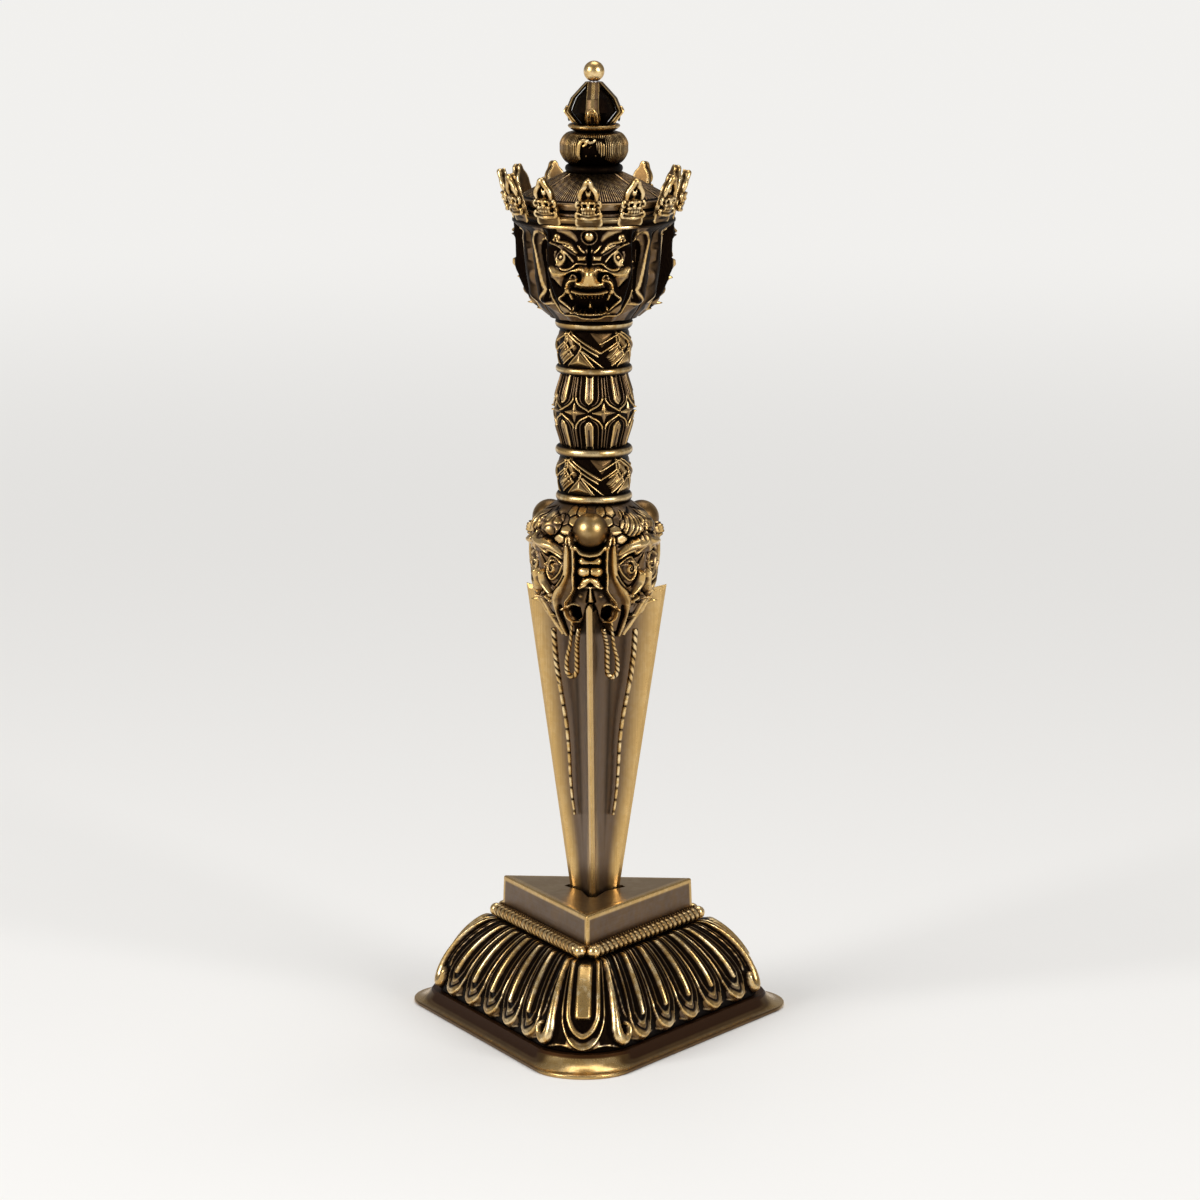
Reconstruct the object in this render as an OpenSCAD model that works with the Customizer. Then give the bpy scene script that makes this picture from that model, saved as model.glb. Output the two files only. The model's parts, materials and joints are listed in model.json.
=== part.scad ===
// Three-bladed ritual dagger (phurba) standing in its three-cornered lotus stand.
// Origin: centre of the triangle on the underside of the stand, front corner towards -Y, +Z up.
// The dagger is a stack of cast pieces drawn together by one tie rod, and it lifts out of the stand.

/* [Foot plate] */
// Side of the foot plate's triangle, before its corners are rounded
plate_side = 111; // [104:1:126]
// Corner radius of the foot plate
plate_corner_r = 13; // [8:0.5:16]
// Height of the plate's upright edge
plate_edge_h = 1; // [0.6:0.1:2]
// Rise of the hollow flange from the edge to the skirt
plate_flange_rise = 3.4; // [2.6:0.1:5]
// Radius of the stand screws' shanks
screw_r = 1.5; // [1.2:0.1:2]
// Radius of the stand screws' heads
screw_head_r = 2.8; // [2.4:0.1:3.4]
// Height of the stand screws' heads
screw_head_h = 1.8; // [1.2:0.1:2.2]
// Length of the stand screws above the plate
screw_bite = 8; // [6:0.25:11]
// Distance of the stand screws from the axis
screw_reach = 24; // [20:0.5:27]

/* [Lotus skirt] */
// Side of the skirt's triangle at its foot, before its corners are rounded
skirt_side = 101; // [96:1:103]
// Corner radius at the foot of the skirt
skirt_corner_r = 13; // [9:0.5:16]
// Height of the lotus skirt
skirt_h = 19.1; // [16:0.1:24]
// Petals along each side
petals_per_side = 5; // [4:1:7]
// Height of the petals' relief
petal_relief = 1; // [0.5:0.1:1.4]
// Thickness of the skirt's wall
skirt_wall = 2.6; // [2:0.1:3.6]
// Thickness of the skirt's top plate
skirt_top_t = 2.5; // [1.8:0.1:3.5]

/* [Rope moulding] */
// Radius of the ribbed roll round the plinth
rope_r = 1.6; // [1.2:0.05:2]
// Ribs along each side of the roll
rope_ribs = 22; // [16:1:28]
// Depth of the grooves between the ribs
rope_groove = 0.35; // [0.15:0.05:0.5]
// Gap between the roll and the plinth
rope_gap = 0.12; // [0.08:0.02:0.4]

/* [Plinth] */
// Side of the plinth's triangle at its top
plinth_side = 46.4; // [42:0.2:52]
// How much longer the plinth's side is at its foot
plinth_flare = 0.8; // [0.4:0.1:2]
// Height of the plinth
plinth_h = 10.1; // [7:0.1:14]
// Bevel along the plinth's top edges
plinth_bevel = 0.45; // [0.2:0.05:1]
// Gap between the blade and its slot, at the mouth
slot_gap = 1.2; // [0.6:0.1:1.6]
// Radius of the spigot under the plinth
spigot_r = 10.5; // [10:0.1:11.5]
// Length of the spigot under the plinth
spigot_h = 6; // [4:0.5:10]

/* [Tip seat] */
// Radius of the seat under the blade's point
seat_r = 6; // [5:0.25:8]
// Height of the seat above the foot plate
seat_h = 7.6; // [5:0.2:9]
// Thickness of the seat's floor above the foot plate
seat_floor = 1.3; // [0.8:0.1:2]
// Radius of the seat's well
seat_well_r = 2.6; // [2.5:0.1:3.4]
// Radius of the spigot that holds the seat in the foot plate
seat_pin_r = 3; // [2:0.1:4]
// Length of the spigot that holds the seat in the foot plate
seat_pin_h = 2.2; // [1.4:0.1:2.4]
// Gap between the blade's point and the floor of its seat
seat_gap = 0.3; // [0.2:0.05:0.6]

/* [Blade] */
// Length of the blade from its point to its shoulder
blade_len = 101.7; // [92:0.1:112]
// Reach of the three fins at the shoulder
blade_r = 19.65; // [18.6:0.05:21]
// Radius of the hollows between the fins at the shoulder
blade_flute_r = 5.4; // [5.2:0.05:6]
// Length of the steeper point that stands inside the socket
point_len = 27.6; // [20:0.2:34]
// Reach of the fins at the top of the point
point_r = 6.9; // [6:0.1:7.4]
// Radius of the hollows at the top of the point
point_flute_r = 2.65; // [2.4:0.05:2.9]
// Depth of the ground edge along each fin
edge_depth = 1.2; // [0.8:0.1:1.6]
// Half thickness of a fin behind its ground edge
edge_half_t = 0.7; // [0.5:0.05:0.9]
// Half width of the narrow flat along each edge
edge_flat = 0.12; // [0.08:0.01:0.2]
// Rise of each fin's outer corner above the seat of the shoulder
horn_h = 3.3; // [2:0.1:4]
// Radius of the round tang above the shoulder
tang_r = 4.9; // [4:0.1:5]
// Length of the round tang above the shoulder
tang_h = 15.6; // [12:0.2:18]

/* [Makara head] */
// Height of the three-faced makara head above the fins' corners
makara_h = 22.25; // [20:0.25:26]
// How far the head's surface on the eyes' level lies inside the fins' corners, before its relief
makara_inset = 5.05; // [4.4:0.05:5.4]
// Radius of the balls on the foreheads
jewel_r = 4.3; // [3.6:0.1:4.8]
// How far the forehead balls' centres lie outside the makara head's radius (inside it below 0)
jewel_out = -1.8; // [-1.8:0.05:-1]
// Radius of the twisted whiskers
whisker_r = 0.72; // [0.5:0.02:0.9]
// Length of the whiskers' hanging loops
whisker_drop = 14; // [10:0.5:18]
// Radius of the bend at the foot of the whiskers' loops
whisker_bend_r = 1.55; // [1.2:0.05:2]
// Radius of the strands along the side fins, at their upper end
strand_r = 0.75; // [0.5:0.05:1]
// Length of the strands along the side fins
strand_len = 46; // [36:1:54]

/* [Grip] */
// Radius of the tie rod
rod_r = 2; // [1.6:0.1:2.4]
// Radius of the tie rod's thin upper end
stud_r = 1; // [0.8:0.05:1.2]
// Height of the ring over the makara head
base_ring_h = 2.4; // [1.8:0.1:3.2]
// Height of the lower woven band
lower_band_h = 8.85; // [7:0.05:11]
// Height of the ring under the lotus grip
lower_ring_h = 2.4; // [1.8:0.1:3.2]
// Height of the lotus grip
grip_h = 17.5; // [14:0.25:22]
// Height of the ring over the lotus grip
upper_ring_h = 1.9; // [1.5:0.1:2.6]
// Height of the upper woven band
upper_band_h = 8.7; // [7:0.05:11]
// Height of the double ring at the neck
neck_ring_h = 2.8; // [2.2:0.1:3.6]
// Outer radius of the polished rings
ring_r = 9.2; // [8.8:0.05:10]
// Radius of the woven bands at their ends
band_r = 8.6; // [8:0.05:8.8]
// How much the woven bands swell at the middle
band_swell = 0.45; // [0.2:0.05:1]
// Interlaced units round each woven band
band_units = 4; // [3:1:6]
// Height of the straps on the woven bands
strap_relief = 0.75; // [0.4:0.05:0.9]
// Radius of the lotus grip at its ends
grip_end_r = 7.9; // [7.4:0.05:8.4]
// Radius of the lotus grip at its middle
grip_mid_r = 9.9; // [9.2:0.05:11]
// Petals round the lotus grip, in each of its two rows
grip_petals = 8; // [6:1:10]
// Height of the grip petals' relief
grip_relief = 0.7; // [0.4:0.05:0.9]

/* [Three-faced head] */
// Height of the head between the neck ring and the crown
head_h = 22.8; // [20:0.25:26]
// Distance of the faces' plane from the axis, at the eyes
face_depth = 17.2; // [16.4:0.1:18]
// Half width of each face
face_half_w = 10.6; // [9.6:0.1:11.4]
// Radius of the hollows beside the faces
temple_r = 15; // [14:0.1:15.8]
// How far the frames round the ears stand out
ear_frame_h = 2.3; // [1.4:0.1:2.8]
// How far the noses stand out
nose_h = 3.4; // [2.4:0.1:4.2]
// Radius of the head's top, which the crown stands on
head_top_r = 19.2; // [18.9:0.05:20]

/* [Crown and hair] */
// Height of the crown's band
crown_band_h = 3; // [2.2:0.1:4]
// Thickness of the crown's band
crown_band_t = 1.3; // [1:0.05:1.7]
// Leaves round the crown
crown_leaves = 12; // [9:3:15]
// Height of the crown's leaves above the band's foot
leaf_h = 13; // [10:0.25:15]
// Width of the crown's leaves at the skulls
leaf_w = 6.6; // [5:0.1:7.2]
// Thickness of the crown's leaves
leaf_t = 1.6; // [1.2:0.1:2]
// Outward lean of the crown's leaves, in degrees
leaf_lean = 16; // [10:1:20]
// Radius of the hair cap's rim
cap_r = 18.2; // [17.4:0.1:18.6]
// Height of the hair cap's upright rim
cap_rim_h = 6.4; // [4:0.1:8]
// Height of the hair cap's combed cone
cap_cone_h = 5.3; // [4:0.1:7]
// Radius of the hair cap's flat top
cap_top_r = 6.6; // [6:0.1:8]
// Combed locks round the hair cap
cap_locks = 48; // [36:3:60]
// Radius of the ring under the topknot
knot_ring_r = 6.9; // [6.4:0.1:8]
// Height of the ring under the topknot
knot_ring_h = 1.9; // [1.4:0.1:2.6]
// Largest radius of the topknot
knot_r = 8.2; // [7.4:0.1:9]
// Height of the topknot
knot_h = 7.7; // [6:0.1:9.4]
// Ribs round the topknot
knot_ribs = 24; // [18:1:30]
// Width of the ornament in front of the topknot
clasp_w = 6.4; // [5:0.1:7]

/* [Finial] */
// Radius of the collar over the topknot
collar_r = 6.25; // [5.6:0.05:7]
// Height of the collar over the topknot
collar_h = 1.9; // [1.4:0.1:2.6]
// Height of the four prongs
prong_h = 9.9; // [8:0.1:12.5]
// Widest reach of the prongs
prong_reach = 6.9; // [6:0.1:7.6]
// Half width of a prong at its kink
prong_half_w = 1.7; // [1.2:0.05:1.9]
// Gap between the prongs and the dark bulb inside them
core_gap = 0.1; // [0.05:0.05:0.4]
// Radius of the ball on top
finial_r = 2.5; // [2:0.05:2.8]

/* [Fits] */
// Running gap between a pin or a spigot and its bore
fit_gap = 0.05; // [0.03:0.01:0.08]
// Gap between the blade and its pocket in the makara head
pocket_gap = 0.12; // [0.08:0.02:0.2]
// Gap between the forehead balls and their cups
cup_gap = 0.05; // [0.03:0.01:0.1]

/* [Hidden] */
$fn = 72;

// Colours of the old brass, from the polished rings to the dark cast grounds
polished = [0.80, 0.63, 0.32];
satin = [0.70, 0.57, 0.33];
antique = [0.45, 0.35, 0.20];
dark = [0.25, 0.19, 0.13];
steel = [0.55, 0.56, 0.58];

// Directions of the three corners, fins and faces: the front one, then round to the left
front = -90;
sectors = 3;
sector = 360 / sectors;

// Heights of the stand's pieces
plate_h = plate_edge_h + plate_flange_rise;
skirt_z = plate_h;
skirt_top_z = skirt_z + skirt_h;
mouth_z = skirt_top_z + plinth_h;

// Heights of the dagger's pieces, each standing on the one below
tip_z = plate_h + seat_floor + seat_gap;
corner_z = tip_z + blade_len;
shoulder_z = corner_z - horn_h;
makara_top_z = corner_z + makara_h;
lower_band_z = makara_top_z + base_ring_h;
lower_ring_z = lower_band_z + lower_band_h;
grip_z = lower_ring_z + lower_ring_h;
upper_ring_z = grip_z + grip_h;
upper_band_z = upper_ring_z + upper_ring_h;
neck_ring_z = upper_band_z + upper_band_h;
head_z = neck_ring_z + neck_ring_h;
crown_z = head_z + head_h;
cap_top_z = crown_z + cap_rim_h + cap_cone_h;
knot_z = cap_top_z + knot_ring_h;
collar_z = knot_z + knot_h;
prong_z = collar_z + collar_h;
finial_z = prong_z + prong_h;
rod_bottom_z = shoulder_z + tang_h / 2;

makara_r = blade_r - makara_inset;
jewel_reach = makara_r + jewel_out;

// Distance from the middle of a triangle to its side, for a triangle of side s
function inner(s) = s / (2 * sqrt(3));
function dir(a) = [cos(a), sin(a)];
function mix(a, b, t) = a + (b - a) * t;
function clamp(x, lo, hi) = min(max(x, lo), hi);
// A rounded hump of height h about (cx, cy), with half widths rx and ry
function hump(x, y, cx, cy, rx, ry, h) = h * exp(-pow((x - cx) / rx, 2) - pow((y - cy) / ry, 2));
// A rounded ridge of height h along the line from p to q, with half width w
function ridge(x, y, p, q, w, h) =
    let (d = q - p, t = clamp(([x, y] - p) * d / (d * d), 0, 1), e = [x, y] - p - d * t)
    h * exp(-(e * e) / (w * w));

// Point of a rounded triangle at u sides from its front corner: a to the side, corner radius r
function tri_place(a, r, u) =
    let (
        k = floor(u),
        th = front + sector * k,
        arc = r * sector * PI / 180,
        run = 2 * sqrt(3) * (a - r),
        s = (u - k) * (arc + run)
    )
    s < arc / 2
        ? [2 * (a - r) * dir(th) + r * dir(th + s / r * 180 / PI), th + s / r * 180 / PI]
        : s < arc / 2 + run
            ? [2 * (a - r) * dir(th) + r * dir(th + 60) + (s - arc / 2) * dir(th + 150), th + 60]
            : let (psi = th + 60 + (s - arc / 2 - run) / r * 180 / PI)
              [2 * (a - r) * dir(th + sector) + r * dir(psi), psi];
// The same point moved out by h along the triangle's normal, at height z
function tri_point(a, r, u, h, z) =
    let (p = tri_place(a, r, u), q = p[0] + h * dir(p[1])) [q[0], q[1], z];

// A ring round such a triangle at height z, with steps points round each corner
corner_steps = 12;
function tri_ring(a, r, z) =
    [for (k = [0 : sectors - 1], i = [0 : corner_steps])
        let (
            th = front + sector * k,
            p = 2 * (a - r) * dir(th) + r * dir(th + sector * (i / corner_steps - 0.5))
        )
        [p[0], p[1], z]];

// A closed skin over rings of points, each with as many points, from the lowest up
module skin(rings) {
    n = len(rings[0]);
    m = len(rings);
    ends = [centre(rings[0]), centre(rings[m - 1])];
    faces = concat(
        [for (j = [0 : m - 2], i = [0 : n - 1])
            [j * n + i, (j + 1) * n + i, (j + 1) * n + (i + 1) % n]],
        [for (j = [0 : m - 2], i = [0 : n - 1])
            [j * n + i, (j + 1) * n + (i + 1) % n, j * n + (i + 1) % n]],
        [for (i = [0 : n - 1]) [n * m, i, (i + 1) % n]],
        [for (i = [0 : n - 1]) [n * m + 1, (m - 1) * n + (i + 1) % n, (m - 1) * n + i]]
    );
    polyhedron(points = concat([for (g = rings) each g], ends), faces = faces);
}
function total(v, i = 0) = i >= len(v) ? [0, 0, 0] : v[i] + total(v, i + 1);
function centre(g) = total(g) / len(g);

// A tube through the points p, with the radius of each point and n sides
function across(p, i) =
    let (
        a = p[max(i - 1, 0)],
        b = p[min(i + 1, len(p) - 1)],
        t = (b - a) / norm(b - a),
        s = cross(t, [0.31, 0.9, 0.29]),
        u = s / norm(s)
    ) [u, cross(t, u)];
module tube(p, radii, n = 6) {
    skin([for (i = [0 : len(p) - 1])
        let (f = across(p, i))
        [for (k = [0 : n - 1]) p[i] + radii[i] * (f[0] * cos(360 * k / n) + f[1] * sin(360 * k / n))]]);
}

// Half profile of a turned ring: bored to r0, out to r1, height h, its rim rounded
function ring_profile(r0, r1, h) =
    concat([[r0, 0]],
        [for (i = [0 : 10]) [r1 - h / 2 + h / 2 * cos(-90 + 18 * i), h / 2 + h / 2 * sin(-90 + 18 * i)]],
        [[r0, h]]);

// Blade section at height z: reach of the fins and radius of the hollows
point_top_z = tip_z + point_len;
point_end_r = 0.5;
function fin_r(z) =
    z < point_top_z ? mix(point_end_r, point_r, (z - tip_z) / point_len)
                    : mix(point_r, blade_r, (z - point_top_z) / (corner_z - point_top_z));
function flute_r(z) =
    z < point_top_z ? mix(point_end_r / 2, point_flute_r, (z - tip_z) / point_len)
                    : mix(point_flute_r, blade_flute_r, (z - point_top_z) / (corner_z - point_top_z));
// Half thickness of a fin at the distance s along it
function fin_half(s, z) =
    let (
        e = fin_r(z) - edge_depth,
        c = flute_r(z) * cos(60),
        w = flute_r(z) * sin(60)
    ) mix(edge_half_t, w, clamp((e - s) / (e - c), 0, 1));
// Outline of the blade, grown by g
function blade_outline(z, g = 0) =
    let (
        r = fin_r(z),
        q = min(1, r / (4 * edge_depth)),
        back = r - edge_depth * q
    )
    [for (k = [0 : sectors - 1])
        let (a = front + sector * k, d = dir(a), l = dir(a + 90))
        each [
            (flute_r(z) + 1.5 * g) * dir(a - 60),
            back * d - (edge_half_t * q + 1.1 * g) * l,
            (r + g) * d - (edge_flat * q + g) * l,
            (r + g) * d + (edge_flat * q + g) * l,
            back * d + (edge_half_t * q + 1.1 * g) * l
        ]];

// The stand, from the foot plate up
plate_in = inner(plate_side);
skirt_in = inner(skirt_side);
plinth_in = inner(plinth_side);
plinth_foot_in = inner(plinth_side + plinth_flare);
rope_in = plinth_foot_in + rope_gap + rope_r;
skirt_rim_in = rope_in + rope_r * 0.6;
skirt_rim_corner_r = 2.5;

module foot_plate() {
    steps = 4;
    color(antique)
    difference() {
        skin(concat(
            [tri_ring(plate_in, plate_corner_r, 0)],
            [for (j = [0 : steps])
                let (q = j / steps)
                tri_ring(mix(plate_in, skirt_in, q), mix(plate_corner_r, skirt_corner_r, q),
                    plate_edge_h + plate_flange_rise * q * q)]
        ));
        for (k = [0 : sectors - 1]) {
            rotate([0, 0, front + sector * k])
            translate([screw_reach, 0, 0]) {
                translate([0, 0, -1]) cylinder(r = screw_r + fit_gap, h = plate_h + 2);
                translate([0, 0, -1]) cylinder(r = screw_head_r + 2 * fit_gap, h = screw_head_h + 1.2);
            }
        }
        translate([0, 0, plate_h - seat_pin_h - 2 * fit_gap])
        cylinder(r = seat_pin_r + fit_gap, h = seat_pin_h + 2);
    }
}

// Screws up through the foot plate into the skirt's bosses, their heads sunk in the underside
screw_len = plate_h + screw_bite;
module stand_screws() {
    color(steel)
    for (k = [0 : sectors - 1]) {
        rotate([0, 0, front + sector * k])
        translate([screw_reach, 0, 0.2]) {
            difference() {
                cylinder(r = screw_head_r, h = screw_head_h);
                translate([-screw_head_r * 0.8, -0.4, -1])
                cube([screw_head_r * 1.6, 0.8, 1.6]);
            }
            cylinder(r = screw_r, h = screw_len);
        }
    }
}

module tip_seat() {
    color(antique)
    difference() {
        union() {
            translate([0, 0, plate_h]) cylinder(r = seat_r, h = seat_h);
            translate([0, 0, plate_h - seat_pin_h]) cylinder(r = seat_pin_r, h = seat_pin_h + 0.5);
        }
        translate([0, 0, plate_h + seat_floor]) cylinder(r = seat_well_r, h = seat_h);
    }
}

// Shape of the skirt: t runs from 0 at its foot to 1 under the rope moulding
function skirt_fall(t) = 1 - pow(1 - pow(clamp(t, 0, 1), 1.8), 0.8);
function skirt_a(t) = mix(skirt_in, skirt_rim_in, skirt_fall(t));
function skirt_r(t) = mix(skirt_corner_r, skirt_rim_corner_r, skirt_fall(t));

// Shares of one side: half the corner petal, one scroll, and then the side petals
corner_share = 0.06;
scroll_share = 0.103;
petal_share = (1 - 2 * corner_share - 2 * scroll_share) / petals_per_side;
// Columns across a side petal, a corner petal and a scroll, as shares of the half width
petal_cols = [-1, -0.8, -0.5, -0.27, -0.14, 0.14, 0.27, 0.5, 0.8];
corner_cols = [-1, -0.84, -0.62, -0.46, -0.36, 0.36, 0.46, 0.62, 0.84];
scroll_cols = [-1, -0.42, -0.12, 0.3, 0.62];

// Relief of a side petal at column i: gap, rim, hollow, foot and top of the middle bar
function petal_height(i, t) =
    let (
        m = min(i, len(petal_cols) - i),
        tip = pow(clamp(1 - t / 0.3, 0, 1), 2),
        bar = t > 0.3 && t < 0.95 ? 1 : 0
    )
    m == 0 ? -0.9 : m == 1 ? 0.7 + 0.7 * tip : m == 2 ? -0.3 + 0.9 * tip
        : m == 3 ? -0.3 + 1.1 * tip : mix(-0.2, 1, bar) + 1.2 * tip;
function corner_height(i, t) =
    let (
        m = min(i, len(corner_cols) - i),
        tip = pow(clamp(1 - t / 0.16, 0, 1), 2),
        bar = t > 0.2 && t < 0.96 ? 1 : 0
    )
    m == 0 ? -0.9 : m == 1 ? 0.8 + 0.7 * tip : m == 2 ? -0.4 + tip
        : m == 3 ? -0.4 + tip : mix(-0.3, 1.1, bar) + tip;
function scroll_height(i, t) = i == 0 ? -0.9 : i == 2 ? 1 : i == 3 ? (t < 0.3 ? 1 : 0.2) : -0.2;
// Petals draw in to a point at their tips
function narrowing(kind, t) =
    kind == 0 ? mix(0.3, 1, pow(clamp(t / 0.2, 0, 1), 0.5))
        : kind == 2 ? mix(0.12, 1, pow(clamp(t / 0.32, 0, 1), 0.7)) : 1;
function skirt_columns() =
    [for (k = [0 : sectors - 1]) each concat(
        [for (i = [0 : len(corner_cols) - 1]) [k, corner_share, corner_cols[i], 0, i]],
        [for (i = [0 : len(scroll_cols) - 1])
            [k + corner_share + scroll_share / 2, scroll_share / 2, scroll_cols[i], 1, i]],
        [for (p = [0 : petals_per_side - 1], i = [0 : len(petal_cols) - 1])
            let (middle = k + corner_share + scroll_share + petal_share * (p + 0.5))
            [middle, petal_share / 2, petal_cols[i], 2, i]],
        [for (i = [0 : len(scroll_cols) - 1])
            let (j = (len(scroll_cols) - i) % len(scroll_cols))
            [k + 1 - corner_share - scroll_share / 2, scroll_share / 2, i == 0 ? -1 : -scroll_cols[j], 1, j]]
    )];
function skirt_relief(c, t) =
    let (fade = clamp((1 - t) / 0.08, 0, 1))
    petal_relief * fade * (c[3] == 0 ? corner_height(c[4], t) : c[3] == 1 ? scroll_height(c[4], t)
        : petal_height(c[4], t));
function skirt_share(c, t) =
    c[0] + c[1] * c[2] * (c[4] == 0 ? 1 : narrowing(c[3], t));

module lotus_skirt() {
    rows = [-0.06, 0.05, 0.12, 0.2, 0.29, 0.34, 0.45, 0.57, 0.68, 0.78, 0.87, 0.94, 1];
    cols = skirt_columns();
    below = 4;
    roof = 1 - skirt_top_t / skirt_h;
    inner_rows = [-0.1, 0.1, 0.3 * roof, 0.6 * roof, 0.8 * roof, roof];
    color(antique)
    difference() {
        union() {
            difference() {
                skin([for (t = rows)
                    [for (c = cols)
                        tri_point(skirt_a(t) - petal_relief * 0.9, skirt_r(t), skirt_share(c, t) + sectors,
                            skirt_relief(c, t), skirt_z + skirt_h * t)]]);
                skin([for (t = inner_rows)
                    let (a = skirt_a(t) - petal_relief * 1.8 - skirt_wall)
                    tri_ring(a, skirt_r(t), skirt_z + skirt_h * t)]);
            }
            for (k = [0 : sectors - 1]) {
                rotate([0, 0, front + sector * k])
                translate([screw_reach, 0, skirt_z - 1])
                cylinder(r = screw_r + 2, h = skirt_h - skirt_top_t + 1.5);
            }
        }
        // Everything is cut off level at the foot
        translate([0, 0, skirt_z - below]) cylinder(r = 2 * skirt_in, h = below);
        for (k = [0 : sectors - 1]) {
            rotate([0, 0, front + sector * k])
            translate([screw_reach, 0, skirt_z - 1])
            cylinder(r = screw_r + fit_gap, h = screw_len - plate_h + 2);
        }
        translate([0, 0, skirt_z]) cylinder(r = spigot_r + fit_gap, h = skirt_h + 1);
    }
}

// Along each side lies a ribbed roll with a ball at either end, close to its neighbour's
ball_reach = 2 * rope_r + rope_gap;
rope_start = ball_reach + 0.85 * rope_r;
rope_len = 4 * rope_in * cos(30);
rope_run = rope_len - 2 * rope_start;
ball_arc = [for (i = [0 : 14]) [rope_r * sin(10 * i), rope_r * cos(10 * i)]];
module rope_side() {
    pitch = rope_run / rope_ribs;
    rotate_extrude()
    polygon(concat(
        [for (p = ball_arc) [p[0], ball_reach - p[1]]],
        [for (i = [0 : rope_ribs - 1], q = [0 : 0.25 : 1])
            let (dip = rope_groove * pow(2 * q - 1, 2))
            if (q > 0 || i == 0) [rope_r - dip, rope_start + (i + q) * pitch]],
        [for (i = [len(ball_arc) - 1 : -1 : 0]) [ball_arc[i][0], rope_len - ball_reach + ball_arc[i][1]]]
    ));
}
module rope_moulding() {
    color(polished)
    for (k = [0 : sectors - 1]) {
        a = front + sector * k;
        c = 2 * rope_in * dir(a);
        translate([c[0], c[1], skirt_top_z + rope_r])
        rotate([0, 0, a + 150]) rotate([0, 90, 0]) rope_side();
    }
}

module plinth_block() {
    color(satin)
    difference() {
        union() {
            skin([for (g = [
                    [plinth_foot_in, skirt_top_z],
                    [plinth_in, mouth_z - plinth_bevel],
                    [plinth_in - plinth_bevel, mouth_z]
                ])
                [for (k = [0 : sectors - 1], s = [-1, 1])
                    let (
                        th = front + sector * k,
                        p = 2 * g[0] * dir(th) + plinth_bevel * dir(th + 180 - 30 * s)
                    )
                    [p[0], p[1], g[1]]]]);
            translate([0, 0, skirt_top_z - spigot_h]) cylinder(r = spigot_r, h = spigot_h + 1);
        }
        translate([0, 0, skirt_top_z - spigot_h - 1])
        linear_extrude(plinth_h + spigot_h + 2)
        polygon([for (k = [0 : sectors - 1])
            let (a = front + sector * k, d = dir(a), l = dir(a + 90))
            each [
                (flute_r(mouth_z) + slot_gap * 0.6) * dir(a - 60),
                (fin_r(mouth_z) + slot_gap) * d - (edge_half_t + 0.25) * l,
                (fin_r(mouth_z) + slot_gap) * d + (edge_half_t + 0.25) * l
            ]]);
    }
}

// The blade and its tie rod
module blade() {
    heights = [tip_z, tip_z + 4, point_top_z, mix(point_top_z, corner_z, 0.5), corner_z];
    color(satin)
    difference() {
        union() {
            difference() {
                skin([for (z = heights) [for (p = blade_outline(z)) [p[0], p[1], z]]]);
                // The fins' shoulders: level inside the makara head, rising to the outer corners
                rotate_extrude()
                polygon([
                    [0, shoulder_z], [blade_r - horn_h, shoulder_z], [blade_r + 1, corner_z + 1],
                    [blade_r + 1, corner_z + 2], [0, corner_z + 2]
                ]);
            }
            translate([0, 0, shoulder_z - 2]) cylinder(r = tang_r, h = tang_h + 2);
        }
        translate([0, 0, rod_bottom_z - 2 * fit_gap]) cylinder(r = rod_r + fit_gap, h = tang_h);
    }
}

module tie_rod() {
    color(steel) {
        translate([0, 0, rod_bottom_z]) cylinder(r = rod_r, h = collar_z - rod_bottom_z);
        translate([0, 0, collar_z - 0.5])
        cylinder(r = stud_r, h = finial_z + finial_r * 0.9 - collar_z + 0.5);
    }
}

// The makara head over the blade
// v runs from 0 at the fins' corners to 1 at the top of the head
function makara_z(v) = corner_z + makara_h * v;
// How low the head hangs at the angle a from a fin: lips, nostrils and ragged leaf points
function makara_low(a) = lookup(a, [
    [0, -0.15], [13, -0.15], [18, -0.21], [26, -0.13], [35, -0.13], [41, -0.32], [46, -0.22],
    [52, -0.44], [60, -0.28]
]);
function makara_base(v) = makara_r * lookup(v, [
    [-0.45, 0.5], [-0.2, 0.73], [0, 0.88], [0.2, 0.96], [0.4, 1], [0.6, 1.01], [0.75, 0.96],
    [0.88, 0.81], [1, 0.6]
]);
// The relief is drawn on a chart: degrees from the fin across, 40 units from the corners to the top
makara_chart_h = 40;
function makara_relief(a, v) =
    ridge(a, v * makara_chart_h, [15, 4], [20, 33], 2.6, 1.5)
    + ridge(a, v * makara_chart_h, [15, 4], [19, -6], 2.6, 1.6)
    + hump(a, v * makara_chart_h, 0, 4, 13, 10, 1.4)
    + hump(a, v * makara_chart_h, 0, 30, 11, 6, -1.2)
    + hump(a, v * makara_chart_h, 4.5, 19, 3.5, 2.4, 0.8)
    + hump(a, v * makara_chart_h, 4.5, 14.5, 3.5, 2.2, 0.9)
    + hump(a, v * makara_chart_h, 4.5, 10.5, 3.2, 2, 0.7)
    + ridge(a, v * makara_chart_h, [24, 20], [58, 32], 4.2, 2.6)
    + hump(a, v * makara_chart_h, 38, 13.5, 10, 5.5, -1.2)
    + hump(a, v * makara_chart_h, 38, 13.5, 4, 3, 1.7)
    + ridge(a, v * makara_chart_h, [26, 3], [56, 11], 2.6, 1.5)
    + ridge(a, v * makara_chart_h, [28, -3], [54, 4], 2, 1)
    + hump(a, v * makara_chart_h, 10, -4, 4, 3, -1.2);
makara_angles = [0, 3, 6, 9, 12, 15, 18, 21, 24.5, 28, 31.5, 35, 38, 41, 44, 47, 50, 53.5, 57, 60];
function both_sides(list) =
    concat([for (i = [len(list) - 1 : -1 : 1]) -list[i]], [for (i = [0 : len(list) - 2]) list[i]]);
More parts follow.
